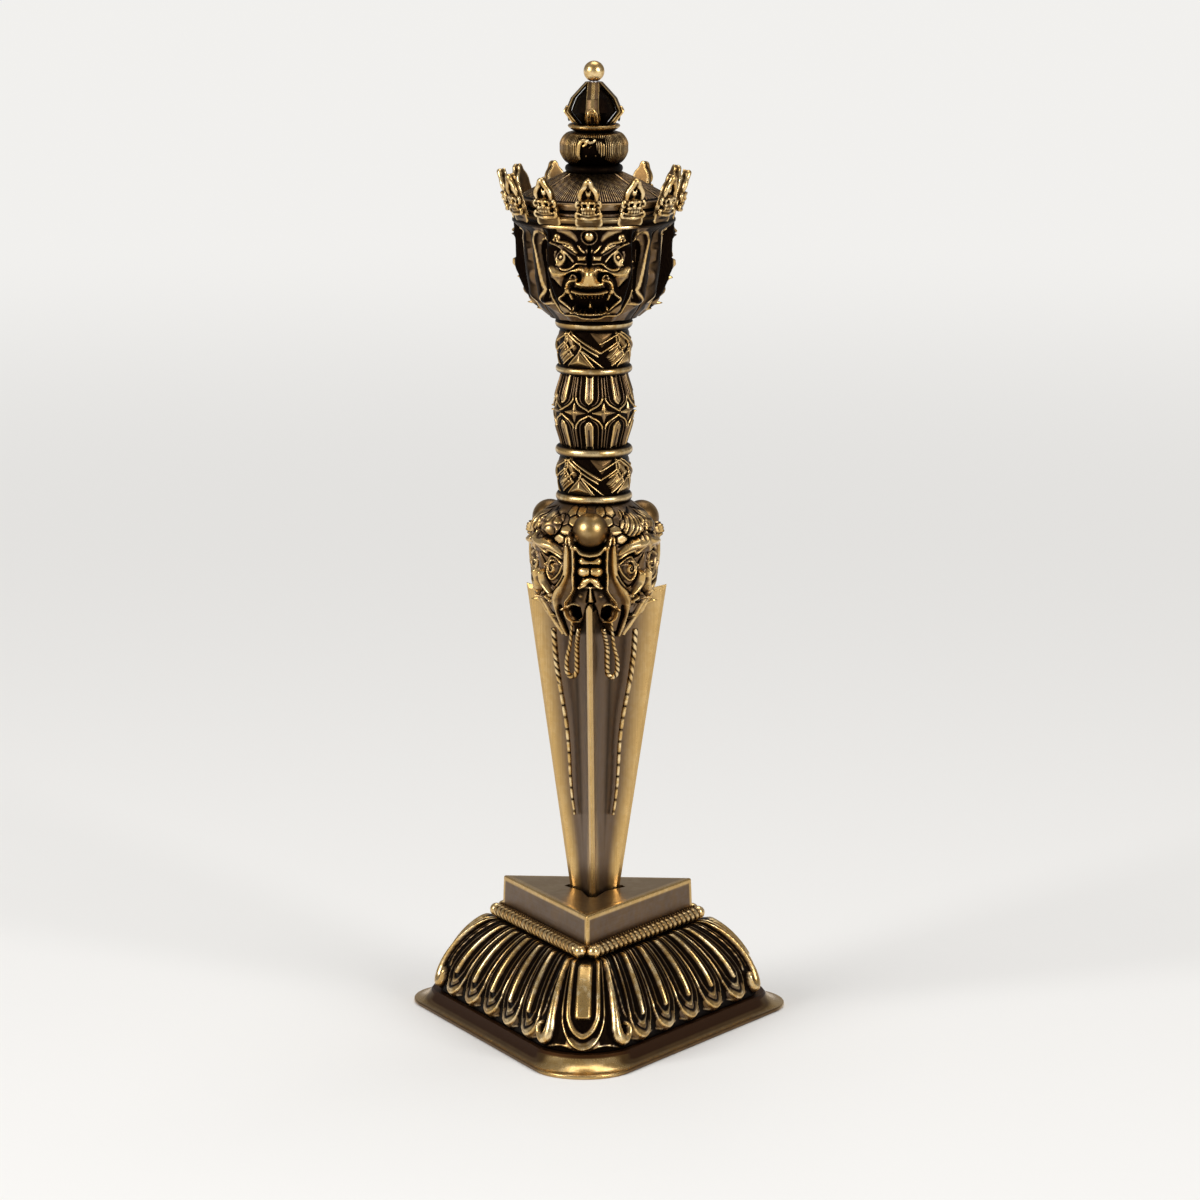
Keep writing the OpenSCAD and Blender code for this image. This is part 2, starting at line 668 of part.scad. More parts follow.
module makara_head() {
    rows = 20;
    cols = both_sides(makara_angles);
    color(antique)
    difference() {
        skin([for (j = [0 : rows])
            [for (k = [0 : sectors - 1], c = cols)
                let (
                    v = mix(makara_low(abs(c)), 1, j / rows),
                    fade = clamp((1 - v) / 0.1, 0, 1),
                    r = makara_base(v) + fade * makara_relief(abs(c), v),
                    a = front + sector * k + c
                ) [r * cos(a), r * sin(a), makara_z(v)]]]);
        // Pocket for the three fins
        translate([0, 0, corner_z - makara_h])
        linear_extrude(makara_h - horn_h + pocket_gap)
        polygon(blade_outline(shoulder_z, pocket_gap));
        translate([0, 0, shoulder_z - 1]) cylinder(r = tang_r + fit_gap, h = tang_h + 1 + 2 * fit_gap);
        translate([0, 0, shoulder_z]) cylinder(r = rod_r + fit_gap, h = makara_h + horn_h + 1);
        for (k = [0 : sectors - 1]) {
            rotate([0, 0, front + sector * k])
            translate([jewel_reach, 0, jewel_z]) sphere(r = jewel_r + cup_gap);
        }
    }
}
jewel_z = makara_top_z - jewel_r - 1;
module forehead_jewels() {
    color(polished)
    for (k = [0 : sectors - 1]) {
        rotate([0, 0, front + sector * k])
        translate([jewel_reach, 0, jewel_z]) sphere(r = jewel_r);
    }
}

// Twisted whiskers that hang in a loop beside the front fin: down its face, round and up to the lip
loop_steps = 7;
loop_top_z = corner_z - makara_h * 0.26;
loop_rise = makara_h * 0.05;
loop_leg = whisker_drop - whisker_bend_r;
// How far out of the fin's face and how far down the loop runs, over three parts of q
function loop_path(q) =
    q < 1 ? [0, loop_leg * q]
        : q < 2 ? [whisker_bend_r * (1 + cos(180 * (2 - q))), loop_leg + whisker_bend_r * sin(180 * (q - 1))]
            : [2 * whisker_bend_r, mix(loop_leg, -loop_rise, q - 2)];
function loop_point(side, q) =
    let (
        f = loop_path(q),
        z = loop_top_z - f[1],
        s = blade_r * (0.438 - 0.061 * f[1] / whisker_drop)
    ) [side * (fin_half(s, z) + whisker_r * 1.17 + f[0]), -s, z];
module whisker_loops() {
    color(polished)
    for (side = [-1, 1]) {
        tube([for (i = [0 : 3 * loop_steps]) loop_point(side, i / loop_steps)],
            [for (i = [0 : 3 * loop_steps]) whisker_r * (i == 0 ? 0.6 : mix(1, 0.75, i / loop_steps / 3))]);
    }
}

// Strands that hang along both faces of the two side fins, thinning to their ends
strand_steps = 12;
strand_top_z = makara_z(-0.42);
function strand_place(t) =
    let (
        z = strand_top_z - strand_len * t,
        s = blade_r * mix(0.478, 0.183, t) + strand_r * 0.67 * sin(500 * t)
    )
    [s, fin_half(s, z) + strand_r * mix(1.08, 0.62, t), z];
module side_strands() {
    color(polished)
    for (k = [1, 2], side = [-1, 1]) {
        rotate([0, 0, front + sector * k])
        tube([for (i = [0 : strand_steps])
                let (p = strand_place(i / strand_steps)) [p[0], side * p[1], p[2]]],
            [for (i = [0 : strand_steps]) strand_r * mix(1, 0.5, i / strand_steps)]);
    }
}

// The grip: rings, woven bands and lotus petals
module turned_ring(z, h, r) {
    translate([0, 0, z])
    rotate_extrude() polygon(ring_profile(rod_r + fit_gap, r, h));
}
module base_ring() {
    color(polished) turned_ring(makara_top_z, base_ring_h, ring_r);
}
module lower_grip_ring() {
    color(polished) turned_ring(lower_ring_z, lower_ring_h, ring_r + 0.1);
}
module upper_grip_ring() {
    color(polished) turned_ring(upper_ring_z, upper_ring_h, ring_r);
}
// Two beads, a broad one under a narrow one
module neck_ring() {
    broad = neck_ring_h * 0.66;
    color(polished)
    translate([0, 0, neck_ring_z])
    rotate_extrude()
    polygon(concat(
        [[rod_r + fit_gap, 0]],
        [for (i = [0 : 10])
            let (a = 18 * i - 90) [ring_r + 0.1 - broad / 2 * (1 - cos(a)), broad / 2 * (1 + sin(a))]],
        [[ring_r - 1.1, broad], [ring_r - 0.5, mix(broad, neck_ring_h, 0.5)], [ring_r - 0.8, neck_ring_h],
            [rod_r + fit_gap, neck_ring_h]]
    ));
}

// A band of interlaced straps: two zigzag straps that cross, with blocks between them
band_cols = 12;
band_rows = 8;
function strap_height(x, y) =
    let (
        zig = abs(2 * abs(x - floor(x) - 0.5) - y),
        zag = abs(1 - 2 * abs(x - floor(x) - 0.5) - y),
        near = min(zig, zag)
    ) near < 0.13 ? 1 : near < 0.26 ? -0.1 : 0.45;
module weave_band(z, h) {
    n = band_units * band_cols;
    color(dark)
    difference() {
        skin([for (j = [0 : band_rows])
            [for (i = [0 : n - 1])
                let (
                    y = j / band_rows,
                    edge = j == 0 || j == band_rows ? 0 : 1,
                    strap = strap_relief * (strap_height(i / band_cols, y) - 0.45) * edge,
                    r = band_r + band_swell * sin(180 * y) + strap,
                    a = front + 360 * i / n
                ) [r * cos(a), r * sin(a), z + h * y]]]);
        translate([0, 0, z - 1]) cylinder(r = rod_r + fit_gap, h = h + 2);
    }
}
module lower_weave_band() {
    weave_band(lower_band_z, lower_band_h);
}
module upper_weave_band() {
    weave_band(upper_band_z, upper_band_h);
}

// Two rows of lotus petals, their tips meeting half way
grip_cols = [-1, -0.82, -0.62, -0.44, -0.3, 0.3, 0.44, 0.62, 0.82];
function grip_height(i, t) =
    let (m = min(i, len(grip_cols) - i), bar = t < 0.8 ? 1 : 0)
    m == 0 ? (t > 0.85 ? 0.5 : -0.8) : m == 1 ? 0.8 : m == 2 ? -0.4 : m == 3 ? -0.3 : mix(-0.3, 1, bar);
module lotus_grip() {
    rows = [0, 0.14, 0.42, 0.62, 0.78, 0.86, 0.95];
    levels = concat(
        [for (t = rows) [t / 2, t]],
        [for (i = [len(rows) - 1 : -1 : 0]) [1 - rows[i] / 2, rows[i]]]
    );
    color(dark)
    difference() {
        skin([for (g = levels)
            [for (p = [0 : grip_petals - 1], i = [0 : len(grip_cols) - 1])
                let (
                    t = g[1],
                    narrow = i == 0 ? 1 : mix(0.14, 1, pow(clamp((1 - t) / 0.45, 0, 1), 0.6)),
                    edge = t == 0 ? 0 : 1,
                    swell = mix(grip_end_r, grip_mid_r, pow(sin(180 * g[0]), 1.3)),
                    r = swell + edge * grip_relief * grip_height(i, t),
                    a = front + 360 / grip_petals * (p + 0.5 * grip_cols[i] * narrow)
                ) [r * cos(a), r * sin(a), grip_z + grip_h * g[0]]]]);
        translate([0, 0, grip_z - 1]) cylinder(r = rod_r + fit_gap, h = grip_h + 2);
    }
}

// The head with its three wrathful faces
// x is measured across a face, w from 0 at the neck to 1 at the crown.
// The faces' features are drawn on a chart 22.8 high, y up from the neck.
face_chart_h = 22.8;
// Fall of the faces' plane to its sides, per square millimetre across
face_bow = 0.012;
function face_plane(w) = face_depth * lookup(w, [
    [0, 0.6], [0.1, 0.76], [0.24, 0.88], [0.4, 0.965], [0.6, 1], [0.8, 1.01], [0.93, 1.03], [1, 1.04]
]);
function temple(w) = temple_r * lookup(w, [
    [0, 0.69], [0.1, 0.84], [0.25, 0.95], [0.5, 1.01], [0.8, 1.05], [0.92, 1.08], [1, 1.2]
]);
// The faces draw in towards the jaw
function face_half(w) =
    face_half_w * lookup(w, [[0, 0.42], [0.1, 0.56], [0.24, 0.76], [0.4, 0.9], [0.6, 1], [1, 1]]);
function face_relief(x, y) =
    // Chin and lower lip
    ridge(x, y, [0, 2.6], [6, 3.4], 1.1, 1.3)
    + hump(x, y, 0, 1.2, 6, 1.4, 0.8)
    // Open mouth, upper lip and fangs
    + hump(x, y, 0, 5.6, 6.2, 1.8, -3)
    + ridge(x, y, [0, 8.1], [5, 7.8], 0.9, 1.4)
    + hump(x, y, 4.4, 6.6, 0.8, 1.3, 1.6)
    // Nose with its wings
    + hump(x, y, 0, 10, 2.6, 2.4, nose_h)
    + ridge(x, y, [0, 10], [0, 15.6], 1.7, nose_h * 0.55)
    + hump(x, y, 3.6, 10, 1.5, 1.3, nose_h * 0.6)
    // Cheekbones and the hollows under them
    + hump(x, y, 7.6, 12.4, 2.6, 1.8, 1.7)
    + hump(x, y, 7.4, 8.6, 2.2, 2, -0.8)
    // Eyes in their sockets
    + hump(x, y, 6.8, 15.4, 3.4, 2.2, -1.4)
    + hump(x, y, 6.8, 15.5, 1.7, 1.5, 2.8)
    // Brows like flames, and the third eye
    + ridge(x, y, [2.6, 16.8], [8, 20.6], 1.2, 2)
    + hump(x, y, 0, 20.2, 1.7, 1.7, 1.8);
head_angles = [0, 3, 6, 9, 12, 15, 18, 21, 24, 27, 30, 33, 36, 41, 46, 50.5, 53, 54, 56, 57, 60];
function head_radius(a, w) =
    let (
        x = face_plane(w) * tan(min(a, 45)),
        y = w * face_chart_h,
        plane = face_plane(w) - face_bow * x * x,
        side = clamp((x - face_half(w)) / 2.2, 0, 1),
        fade = clamp((1 - w) / 0.05, 0, 1) * clamp(w / 0.06, 0, 1),
        face = (plane + fade * face_relief(x, y)) / cos(min(a, 45)),
        ear = a > 52 && a < 56.5 ? ear_frame_h : 0,
        frame = ear * clamp((w - 0.14) / 0.06, 0, 1) * clamp((0.96 - w) / 0.08, 0, 1),
        body = mix(min(face, head_top_r + 0.9), temple(w), side) + fade * frame
    ) mix(body, head_top_r, pow(w, 24));
module three_faced_head() {
    rows = 22;
    cols = both_sides(head_angles);
    color(antique)
    difference() {
        skin([for (j = [0 : rows])
            [for (k = [0 : sectors - 1], c = cols)
                let (
                    w = j / rows,
                    r = j == 0 ? face_depth * 0.58 : j == rows ? head_top_r : head_radius(abs(c), w),
                    a = front + sector * k + c
                ) [r * cos(a), r * sin(a), head_z + head_h * w]]]);
        translate([0, 0, head_z - 1]) cylinder(r = rod_r + fit_gap, h = head_h + 2);
    }
}

// The crown of skulls and the hair in it
// Outline of one crown leaf: a skull with its ears under a pointed flame
function leaf_outline() =
    let (w = leaf_w / 2, h = leaf_h)
    [
        [-w * 0.9, 0], [w * 0.9, 0], [w, h * 0.16], [w * 0.85, h * 0.24], [w, h * 0.32], [w * 0.92, h * 0.42],
        [w * 0.66, h * 0.46], [w * 0.76, h * 0.62], [w * 0.5, h * 0.8], [w * 0.16, h * 0.98],
        [-w * 0.16, h * 0.98], [-w * 0.5, h * 0.8], [-w * 0.76, h * 0.62], [-w * 0.66, h * 0.46],
        [-w * 0.92, h * 0.42], [-w, h * 0.32], [-w * 0.85, h * 0.24], [-w, h * 0.16]
    ];
crown_r = cap_r + fit_gap;
module crown_leaf() {
    eye = leaf_w * 0.11;
    rotate([0, leaf_lean, 0])
    rotate([90, 0, 90])
    difference() {
        linear_extrude(leaf_t) polygon(leaf_outline());
        // Eye sockets and mouth of the skull
        for (s = [-1, 1]) {
            translate([s * leaf_w * 0.2, leaf_h * 0.34, leaf_t / 2]) cylinder(r = eye, h = leaf_t, $fn = 24);
        }
        translate([-leaf_w * 0.22, leaf_h * 0.19, leaf_t * 0.6]) cube([leaf_w * 0.44, leaf_h * 0.04, leaf_t]);
    }
}
module skull_crown() {
    color(antique)
    translate([0, 0, crown_z])
    difference() {
        union() {
            rotate_extrude()
            polygon([
                [crown_r, 0], [crown_r + crown_band_t, 0], [crown_r + crown_band_t, crown_band_h * 0.35],
                [crown_r + crown_band_t * 0.7, crown_band_h * 0.5],
                [crown_r + crown_band_t, crown_band_h * 0.65],
                [crown_r + crown_band_t, crown_band_h], [crown_r, crown_band_h]
            ]);
            for (k = [0 : crown_leaves - 1]) {
                rotate([0, 0, front + 360 / crown_leaves * k])
                translate([crown_r - leaf_t * 0.2, 0, crown_band_h * 0.1]) crown_leaf();
            }
        }
        translate([0, 0, -1]) cylinder(r = crown_r, h = leaf_h + crown_band_h);
        translate([0, 0, -2]) cylinder(r = crown_r + 2 * crown_band_t, h = 2);
    }
}

module hair_cap() {
    n = 2 * cap_locks;
    depth = 0.35;
    // Radius, height and share of the combed grooves at each row
    rows = [
        [cap_r, 0, 0],
        [cap_r, cap_rim_h, 0],
        [cap_r - 0.8, cap_rim_h + 0.2, 0.5],
        [mix(cap_r, cap_top_r, 0.5), cap_rim_h + cap_cone_h * 0.56, 1],
        [cap_top_r + 0.6, cap_rim_h + cap_cone_h - 0.3, 0.6],
        [cap_top_r, cap_rim_h + cap_cone_h, 0]
    ];
    color(dark)
    translate([0, 0, crown_z])
    difference() {
        skin([for (g = rows)
            [for (i = [0 : n - 1])
                let (r = g[0] - depth * g[2] * (i % 2), a = front + 360 * i / n)
                [r * cos(a), r * sin(a), g[1]]]]);
        translate([0, 0, -1]) cylinder(r = rod_r + fit_gap, h = cap_rim_h + cap_cone_h + 2);
    }
}
module topknot_ring() {
    color(polished) turned_ring(cap_top_z, knot_ring_h, knot_ring_r);
}

clasp_back = knot_r - 1.5;
clasp_h = knot_h * 0.7;
module topknot() {
    n = 2 * knot_ribs;
    depth = 0.45;
    rows = 8;
    color(dark)
    difference() {
        skin([for (j = [0 : rows])
            [for (i = [0 : n - 1])
                let (
                    y = j / rows,
                    edge = j == 0 || j == rows ? 0 : 1,
                    swell = pow(sin(180 * pow(y, 1.15)), 0.6),
                    r = mix(knot_ring_r - 1.4, knot_r, swell) - depth * edge * (i % 2),
                    a = front + 360 * i / n
                ) [r * cos(a), r * sin(a), knot_z + knot_h * y]]]);
        translate([0, 0, knot_z - 1]) cylinder(r = rod_r + fit_gap, h = knot_h + 2);
        // Flat pocket for the ornament in front
        translate([-clasp_w / 2 - fit_gap, -knot_r - 2, knot_z + knot_h * 0.2])
        cube([clasp_w + 2 * fit_gap, knot_r + 2 - clasp_back, clasp_h + fit_gap]);
    }
}
// An upright stem that curls over at its top, and a small eye beside it
module topknot_clasp() {
    plate = 0.8;
    stem_r = 0.45;
    curl_r = clasp_w * 0.17;
    stem_x = stem_r + 0.1 - clasp_w / 2;
    stem_top = clasp_h - curl_r - stem_r - 0.1;
    eye = clasp_w * 0.13;
    color(polished)
    translate([0, -clasp_back - fit_gap, knot_z + knot_h * 0.2])
    rotate([90, 0, 0]) {
        translate([-clasp_w / 2, 0, 0]) cube([clasp_w, clasp_h, plate]);
        tube(concat(
                [for (q = [0, 0.5, 1])
                    [stem_x + 0.25 * sin(180 * q), mix(stem_r + 0.1, stem_top, q), plate + stem_r * 0.4]],
                [for (i = [1 : 5])
                    let (a = 180 - 40 * i)
                    [stem_x + curl_r * (1 + cos(a)), stem_top + curl_r * sin(a), plate + stem_r * 0.4]]),
            [for (i = [0 : 7]) stem_r * mix(1, 0.7, i / 7)]);
        translate([clasp_w / 2 - eye * 1.25, clasp_h - eye * 1.25, plate - 0.1])
        difference() {
            cylinder(r = eye, h = stem_r + 0.3, $fn = 24);
            translate([0, 0, 0.3]) cylinder(r = eye * 0.5, h = stem_r + 1, $fn = 24);
        }
    }
}

// The half thunderbolt on top
module vajra_collar() {
    color(polished)
    translate([0, 0, collar_z])
    rotate_extrude() polygon(ring_profile(stud_r + fit_gap, collar_r, collar_h));
}
prong_cap_h = 1.4;
// Reach and depth of a prong at the share y of its height: out from the collar, past its kink, in to the cap
function prong_out(y) = prong_reach * lookup(y, [
    [0, 0.66], [0.16, 0.84], [0.3, 1], [0.4, 0.93], [0.62, 0.8], [0.85, 0.5], [1, 0.3]
]);
function prong_depth(y) = lookup(y, [[0, 1.5], [0.3, 1.5], [0.4, 1.3], [1, 1.2]]);
module vajra_core() {
    top = 1 - prong_cap_h / prong_h;
    color(dark)
    translate([0, 0, prong_z])
    rotate_extrude()
    polygon(concat(
        [[stud_r + fit_gap, 0]],
        [for (y = [0, 0.16, 0.3, 0.4, 0.62, 0.82])
            [prong_out(y) - prong_depth(y) - core_gap, prong_h * y]],
        [[stud_r + 0.5, prong_h * top], [stud_r + fit_gap, prong_h * top]]
    ));
}
// A prong's section has a keel along its back
function prong_row(y) =
    let (
        r = prong_out(y),
        d = prong_depth(y),
        w = prong_half_w * lookup(y, [[0, 1], [0.16, 1.1], [0.3, 1], [0.4, 0.92], [0.85, 0.86], [1, 0.8]]),
        z = prong_z + prong_h * y
    ) [[r - d, -w * 0.7, z], [r - d * 0.35, -w, z], [r, 0, z], [r - d * 0.35, w, z], [r - d, w * 0.7, z]];
module vajra_prongs() {
    color(polished)
    difference() {
        union() {
            for (k = [0 : 3]) {
                rotate([0, 0, front + 90 * k])
                skin([for (y = [0, 0.16, 0.3, 0.4, 0.62, 0.85, 1]) prong_row(y)]);
            }
            translate([0, 0, finial_z - prong_cap_h]) cylinder(r = prong_reach * 0.29, h = prong_cap_h);
        }
        translate([0, 0, prong_z]) cylinder(r = stud_r + fit_gap, h = prong_h + 1);
    }
}
module finial_ball() {
    color(polished)
    translate([0, 0, finial_z])
    difference() {
        rotate_extrude()
        polygon(concat(
            [[0, 0], [finial_r * 0.8, 0]],
            [for (i = [5 : 18]) [finial_r * sin(10 * i), finial_r * (1 - cos(10 * i))]]
        ));
        translate([0, 0, -1]) cylinder(r = stud_r + fit_gap, h = 1 + finial_r * 0.9 + 2 * fit_gap);
    }
}

foot_plate();
stand_screws();
tip_seat();
lotus_skirt();
rope_moulding();
plinth_block();
blade();
tie_rod();
makara_head();
forehead_jewels();
whisker_loops();
side_strands();
base_ring();
lower_weave_band();
lower_grip_ring();
lotus_grip();
upper_grip_ring();
upper_weave_band();
neck_ring();
three_faced_head();
skull_crown();
hair_cap();
topknot_ring();
topknot();
topknot_clasp();
vajra_collar();
vajra_core();
vajra_prongs();
finial_ball();
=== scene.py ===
"""The visible pieces of a three-bladed ritual dagger in its lotus stand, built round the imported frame."""
import json
from math import cos, hypot, pi, radians, sin, sqrt

import bpy
import numpy as np
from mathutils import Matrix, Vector

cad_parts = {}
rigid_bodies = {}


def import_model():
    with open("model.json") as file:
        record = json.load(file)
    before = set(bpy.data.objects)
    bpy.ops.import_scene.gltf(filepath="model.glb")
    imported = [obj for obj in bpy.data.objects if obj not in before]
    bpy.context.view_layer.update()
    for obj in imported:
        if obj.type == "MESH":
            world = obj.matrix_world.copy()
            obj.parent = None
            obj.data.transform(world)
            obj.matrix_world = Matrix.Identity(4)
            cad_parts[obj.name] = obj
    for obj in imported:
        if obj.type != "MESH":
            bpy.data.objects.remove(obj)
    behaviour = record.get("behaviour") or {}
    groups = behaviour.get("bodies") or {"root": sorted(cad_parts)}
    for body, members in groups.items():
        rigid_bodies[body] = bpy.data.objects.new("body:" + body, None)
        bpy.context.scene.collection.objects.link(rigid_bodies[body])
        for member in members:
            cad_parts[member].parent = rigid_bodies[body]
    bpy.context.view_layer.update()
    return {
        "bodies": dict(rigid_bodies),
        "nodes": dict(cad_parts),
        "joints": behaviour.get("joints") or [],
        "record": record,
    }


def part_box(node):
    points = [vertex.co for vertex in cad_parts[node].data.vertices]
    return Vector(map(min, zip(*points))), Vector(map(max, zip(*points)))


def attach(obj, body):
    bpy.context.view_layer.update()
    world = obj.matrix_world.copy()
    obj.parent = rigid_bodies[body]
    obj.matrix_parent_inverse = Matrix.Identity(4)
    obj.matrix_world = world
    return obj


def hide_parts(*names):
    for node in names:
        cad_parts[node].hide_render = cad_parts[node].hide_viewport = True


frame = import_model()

bl_info = {
    "name": "Ritual dagger in its lotus stand",
    "version": (1, 0, 0),
    "blender": (4, 5, 0),
    "location": "3D View > Sidebar > Dagger",
    "description": "Builds the cast brass pieces of a ritual dagger and its stand",
    "category": "Add Mesh",
}

NODES = frame["nodes"]
MM = 0.001
SECTOR = 120.0


def node_box(name):
    """Lowest and highest corners of a CAD node, in millimetres."""
    low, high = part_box(name)
    return np.array(low) / MM, np.array(high) / MM


def node_z(name):
    """Foot and top of a CAD node, in millimetres."""
    low, high = node_box(name)
    return low[2], high[2]


def node_round(name):
    """Foot, top and radius of a round CAD node, in millimetres."""
    low, high = node_box(name)
    return low[2], high[2], high[0]


# Numbers and curves

def mixed(a, b, t):
    """a where t is 0 and b where it is 1."""
    return a + (b - a) * t


def clamp(x, lo=0.0, hi=1.0):
    return np.clip(x, lo, hi)


def run_along(points):
    """How far along its line each point lies."""
    return np.concatenate([[0], np.cumsum(np.linalg.norm(np.diff(points, axis=0), axis=1))])


def round_angles(steps):
    return np.linspace(0, 2 * pi, steps, endpoint=False)


def round_grid(r, angle, z):
    """Points at a radius, an angle and a height, with a row for each height."""
    r, angle, z = np.broadcast_arrays(r, angle, z)
    return np.stack([r * np.cos(angle), r * np.sin(angle), z], -1)


def toward(a):
    """One millimetre at the angle a, across the ground."""
    return np.array([cos(a), sin(a)])


def heading(k):
    """The angle of one of the three corners of the stand, which the fins and faces share."""
    return radians(-90 + SECTOR * k)


def smooth(x, lo, hi):
    """0 below lo, 1 above hi, with a soft turn at both."""
    t = clamp((x - lo) / (hi - lo))
    return t * t * (3 - 2 * t)


def curve(points, steps=6, closed=False):
    """A smooth line through the points, with a few steps between each two."""
    p = np.array(points, float)
    if closed:
        p = np.vstack([p[-1:], p, p[:2]])
    else:
        p = np.vstack([2 * p[:1] - p[1:2], p, 2 * p[-1:] - p[-2:-1]])
    t = np.linspace(0, 1, steps, endpoint=False)[:, None]
    out = []
    for a, b, c, d in zip(p[:-3], p[1:-2], p[2:-1], p[3:]):
        square, cube = 2 * a - 5 * b + 4 * c - d, 3 * b - a - 3 * c + d
        out.append(0.5 * (2 * b + (c - a) * t + square * t**2 + cube * t**3))
    out = np.vstack(out)
    return out if closed else np.vstack([out, p[-2:-1]])


def spiral(x, y, r0, r1, start, turn, steps=22):
    """Points of a curl about (x, y), from radius r0 to r1, turning through the given degrees."""
    q = np.linspace(0, 1, steps)
    a, r = np.radians(start + turn * q), mixed(r0, r1, q)
    return np.column_stack([x + r * np.cos(a), y + r * np.sin(a)])


def blurred(h, cells):
    """The field h with everything finer than a few cells smoothed away."""
    pad = int(3 * cells) + 1
    big = np.pad(h, pad, mode="edge")
    fy, fx = np.fft.fftfreq(big.shape[0])[:, None], np.fft.rfftfreq(big.shape[1])
    keep = np.exp(-2 * (pi * cells) ** 2 * (fx**2 + fy**2))
    return np.fft.irfft2(np.fft.rfft2(big) * keep, s=big.shape)[pad:-pad, pad:-pad]


# How rubbed a place is, and the style of a gap between two forms
BLACK, FLAT = -1.0, 0.0
GAP = {"shape": "soft", "tone": BLACK}
# How a moulding falls off from its middle, where q is 0, to its edge, where it is 1
PROFILES = {
    "round": lambda q: np.sqrt(1 - q * q),
    "soft": lambda q: (1 - q * q) ** 2,
    "flat": lambda q: clamp((1 - q) / 0.35),
    "sharp": lambda q: 1 - q,
}


# How many cells a chart's tones are blurred over
TONE_CELLS = 0.5


class Chart:
    """Relief drawn flat, in millimetres: x runs across, y runs up and h stands out.

    tone says how bright a place is, from -1 (black) to 1 (bright), on top of what its relief gives: mostly
    how rubbed it is, and on the grip's stars a painted highlight.
    """

    def __init__(self, x0, x1, y0, y1, step, ground=0.0, mirrored=False):
        self.nx, self.ny = int(round((x1 - x0) / step)) + 1, int(round((y1 - y0) / step)) + 1
        self.step = step
        self.real_x, self.y = np.meshgrid(np.linspace(x0, x1, self.nx), np.linspace(y0, y1, self.ny))
        self.x = abs(self.real_x) if mirrored else self.real_x
        self.h = np.full(self.y.shape, float(ground))
        self.tone = np.zeros(self.y.shape)

    def _near(self, points, reach):
        low, high = points.min(0) - reach, points.max(0) + reach
        return np.nonzero((self.x > low[0]) & (self.x < high[0]) & (self.y > low[1]) & (self.y < high[1]))

    def _toned(self, near, tone, share):
        if tone is not None:
            self.tone[near] = mixed(self.tone[near], tone, clamp(share))

    def line(self, points, w, h, shape="round", ground=None, tone=None):
        """Raises a moulding along the points, or sinks it where h is below 0. w is its half width."""
        p = np.array(points, float)
        n = len(p)
        along = np.linspace(0, 1, n)
        w = np.interp(along, np.linspace(0, 1, np.size(w)), np.atleast_1d(w))
        h = np.interp(along, np.linspace(0, 1, np.size(h)), np.atleast_1d(h))
        base = self.h.copy() if ground is None else np.full(self.h.shape, float(ground))
        pick = np.maximum if h.max() > 0 or ground is not None else np.minimum
        for i in range(n - 1):
            near = self._near(p[i:i + 2], max(w[i], w[i + 1]))
            if not len(near[0]):
                continue
            d = p[i + 1] - p[i]
            ex, ey = self.x[near] - p[i, 0], self.y[near] - p[i, 1]
            t = clamp((ex * d[0] + ey * d[1]) / max(d @ d, 1e-9))
            q = np.hypot(ex - t * d[0], ey - t * d[1]) / mixed(w[i], w[i + 1], t)
            inside = q < 1
            near = (near[0][inside], near[1][inside])
            rise = mixed(h[i], h[i + 1], t[inside]) * PROFILES[shape](q[inside])
            self.h[near] = pick(self.h[near], base[near] + rise)
            self._toned(near, tone, (1 - q[inside]) * max(2, w[i] / 0.3))
        return self

    def flow(self, points, *shape, **finish):
        """Raises or sinks a moulding along a smooth curve through the points."""
        return self.line(curve(points), *shape, **finish)

    def dome(self, x, y, rx, ry, h, shape="round", turn=0.0, tone=None):
        """Raises or sinks an oval dome."""
        c, s = cos(radians(turn)), sin(radians(turn))
        ex, ey = self.x - x, self.y - y
        q = np.hypot((ex * c + ey * s) / rx, (ey * c - ex * s) / ry)
        inside = q < 1
        self.h[inside] += h * PROFILES[shape](q[inside])
        self._toned(inside, tone, (1 - q[inside]) * max(3, rx / 0.3))
        return self

    def ring(self, x, y, r, w, h, shape="round", squash=1.0, tone=None):
        """Raises a round moulding of radius r."""
        a = np.linspace(0, 2 * pi, 25)
        return self.line(np.column_stack([x + r * np.cos(a), y + r * squash * np.sin(a)]), w, h, shape,
                         tone=tone)

    def plate(self, points, h, edge=0.3, tone=None):
        """Raises or sinks the area inside the points, with an edge of the given width."""
        p = np.array(points, float)
        near = self._near(p, 0)
        x, y = self.x[near], self.y[near]
        inside, away = np.zeros(x.shape, bool), np.full(x.shape, 99.0)
        for a, b in zip(p, np.roll(p, -1, 0)):
            d = b - a
            if abs(d[1]) > 1e-9:
                inside ^= ((a[1] > y) != (b[1] > y)) & (x < a[0] + d[0] * (y - a[1]) / d[1])
            # The sides that lie on the mirror line are no edge
            if max(abs(a[0]), abs(b[0])) < 0.3 and self.x is not self.real_x:
                continue
            t = clamp(((x - a[0]) * d[0] + (y - a[1]) * d[1]) / max(d @ d, 1e-9))
            away = np.minimum(away, np.hypot(x - a[0] - t * d[0], y - a[1] - t * d[1]))
        self.h[near] += h * clamp(away / edge) * inside
        self._toned(near, tone, away / 0.2 * inside)
        return self

    def soften(self, cells):
        self.h = blurred(self.h, cells)

    def fade(self, foot, top):
        """Lets the relief die out within so many millimetres of the chart's foot and top."""
        self.h *= smooth(self.y, 0, foot) * smooth(self.y.max() - self.y, 0, top)

    def relief(self, share=0.4, tone=None):
        """What the material reads: the given share from the carving, the rest from its tones."""
        tone = self.tone if tone is None else tone
        return share * relief_of(self.h, self.step) + blurred(tone, TONE_CELLS)


# Meshes

def select(obj):
    """Makes the object the only one that is selected."""
    bpy.ops.object.select_all(action="DESELECT")
    obj.select_set(True)
    bpy.context.view_layer.objects.active = obj


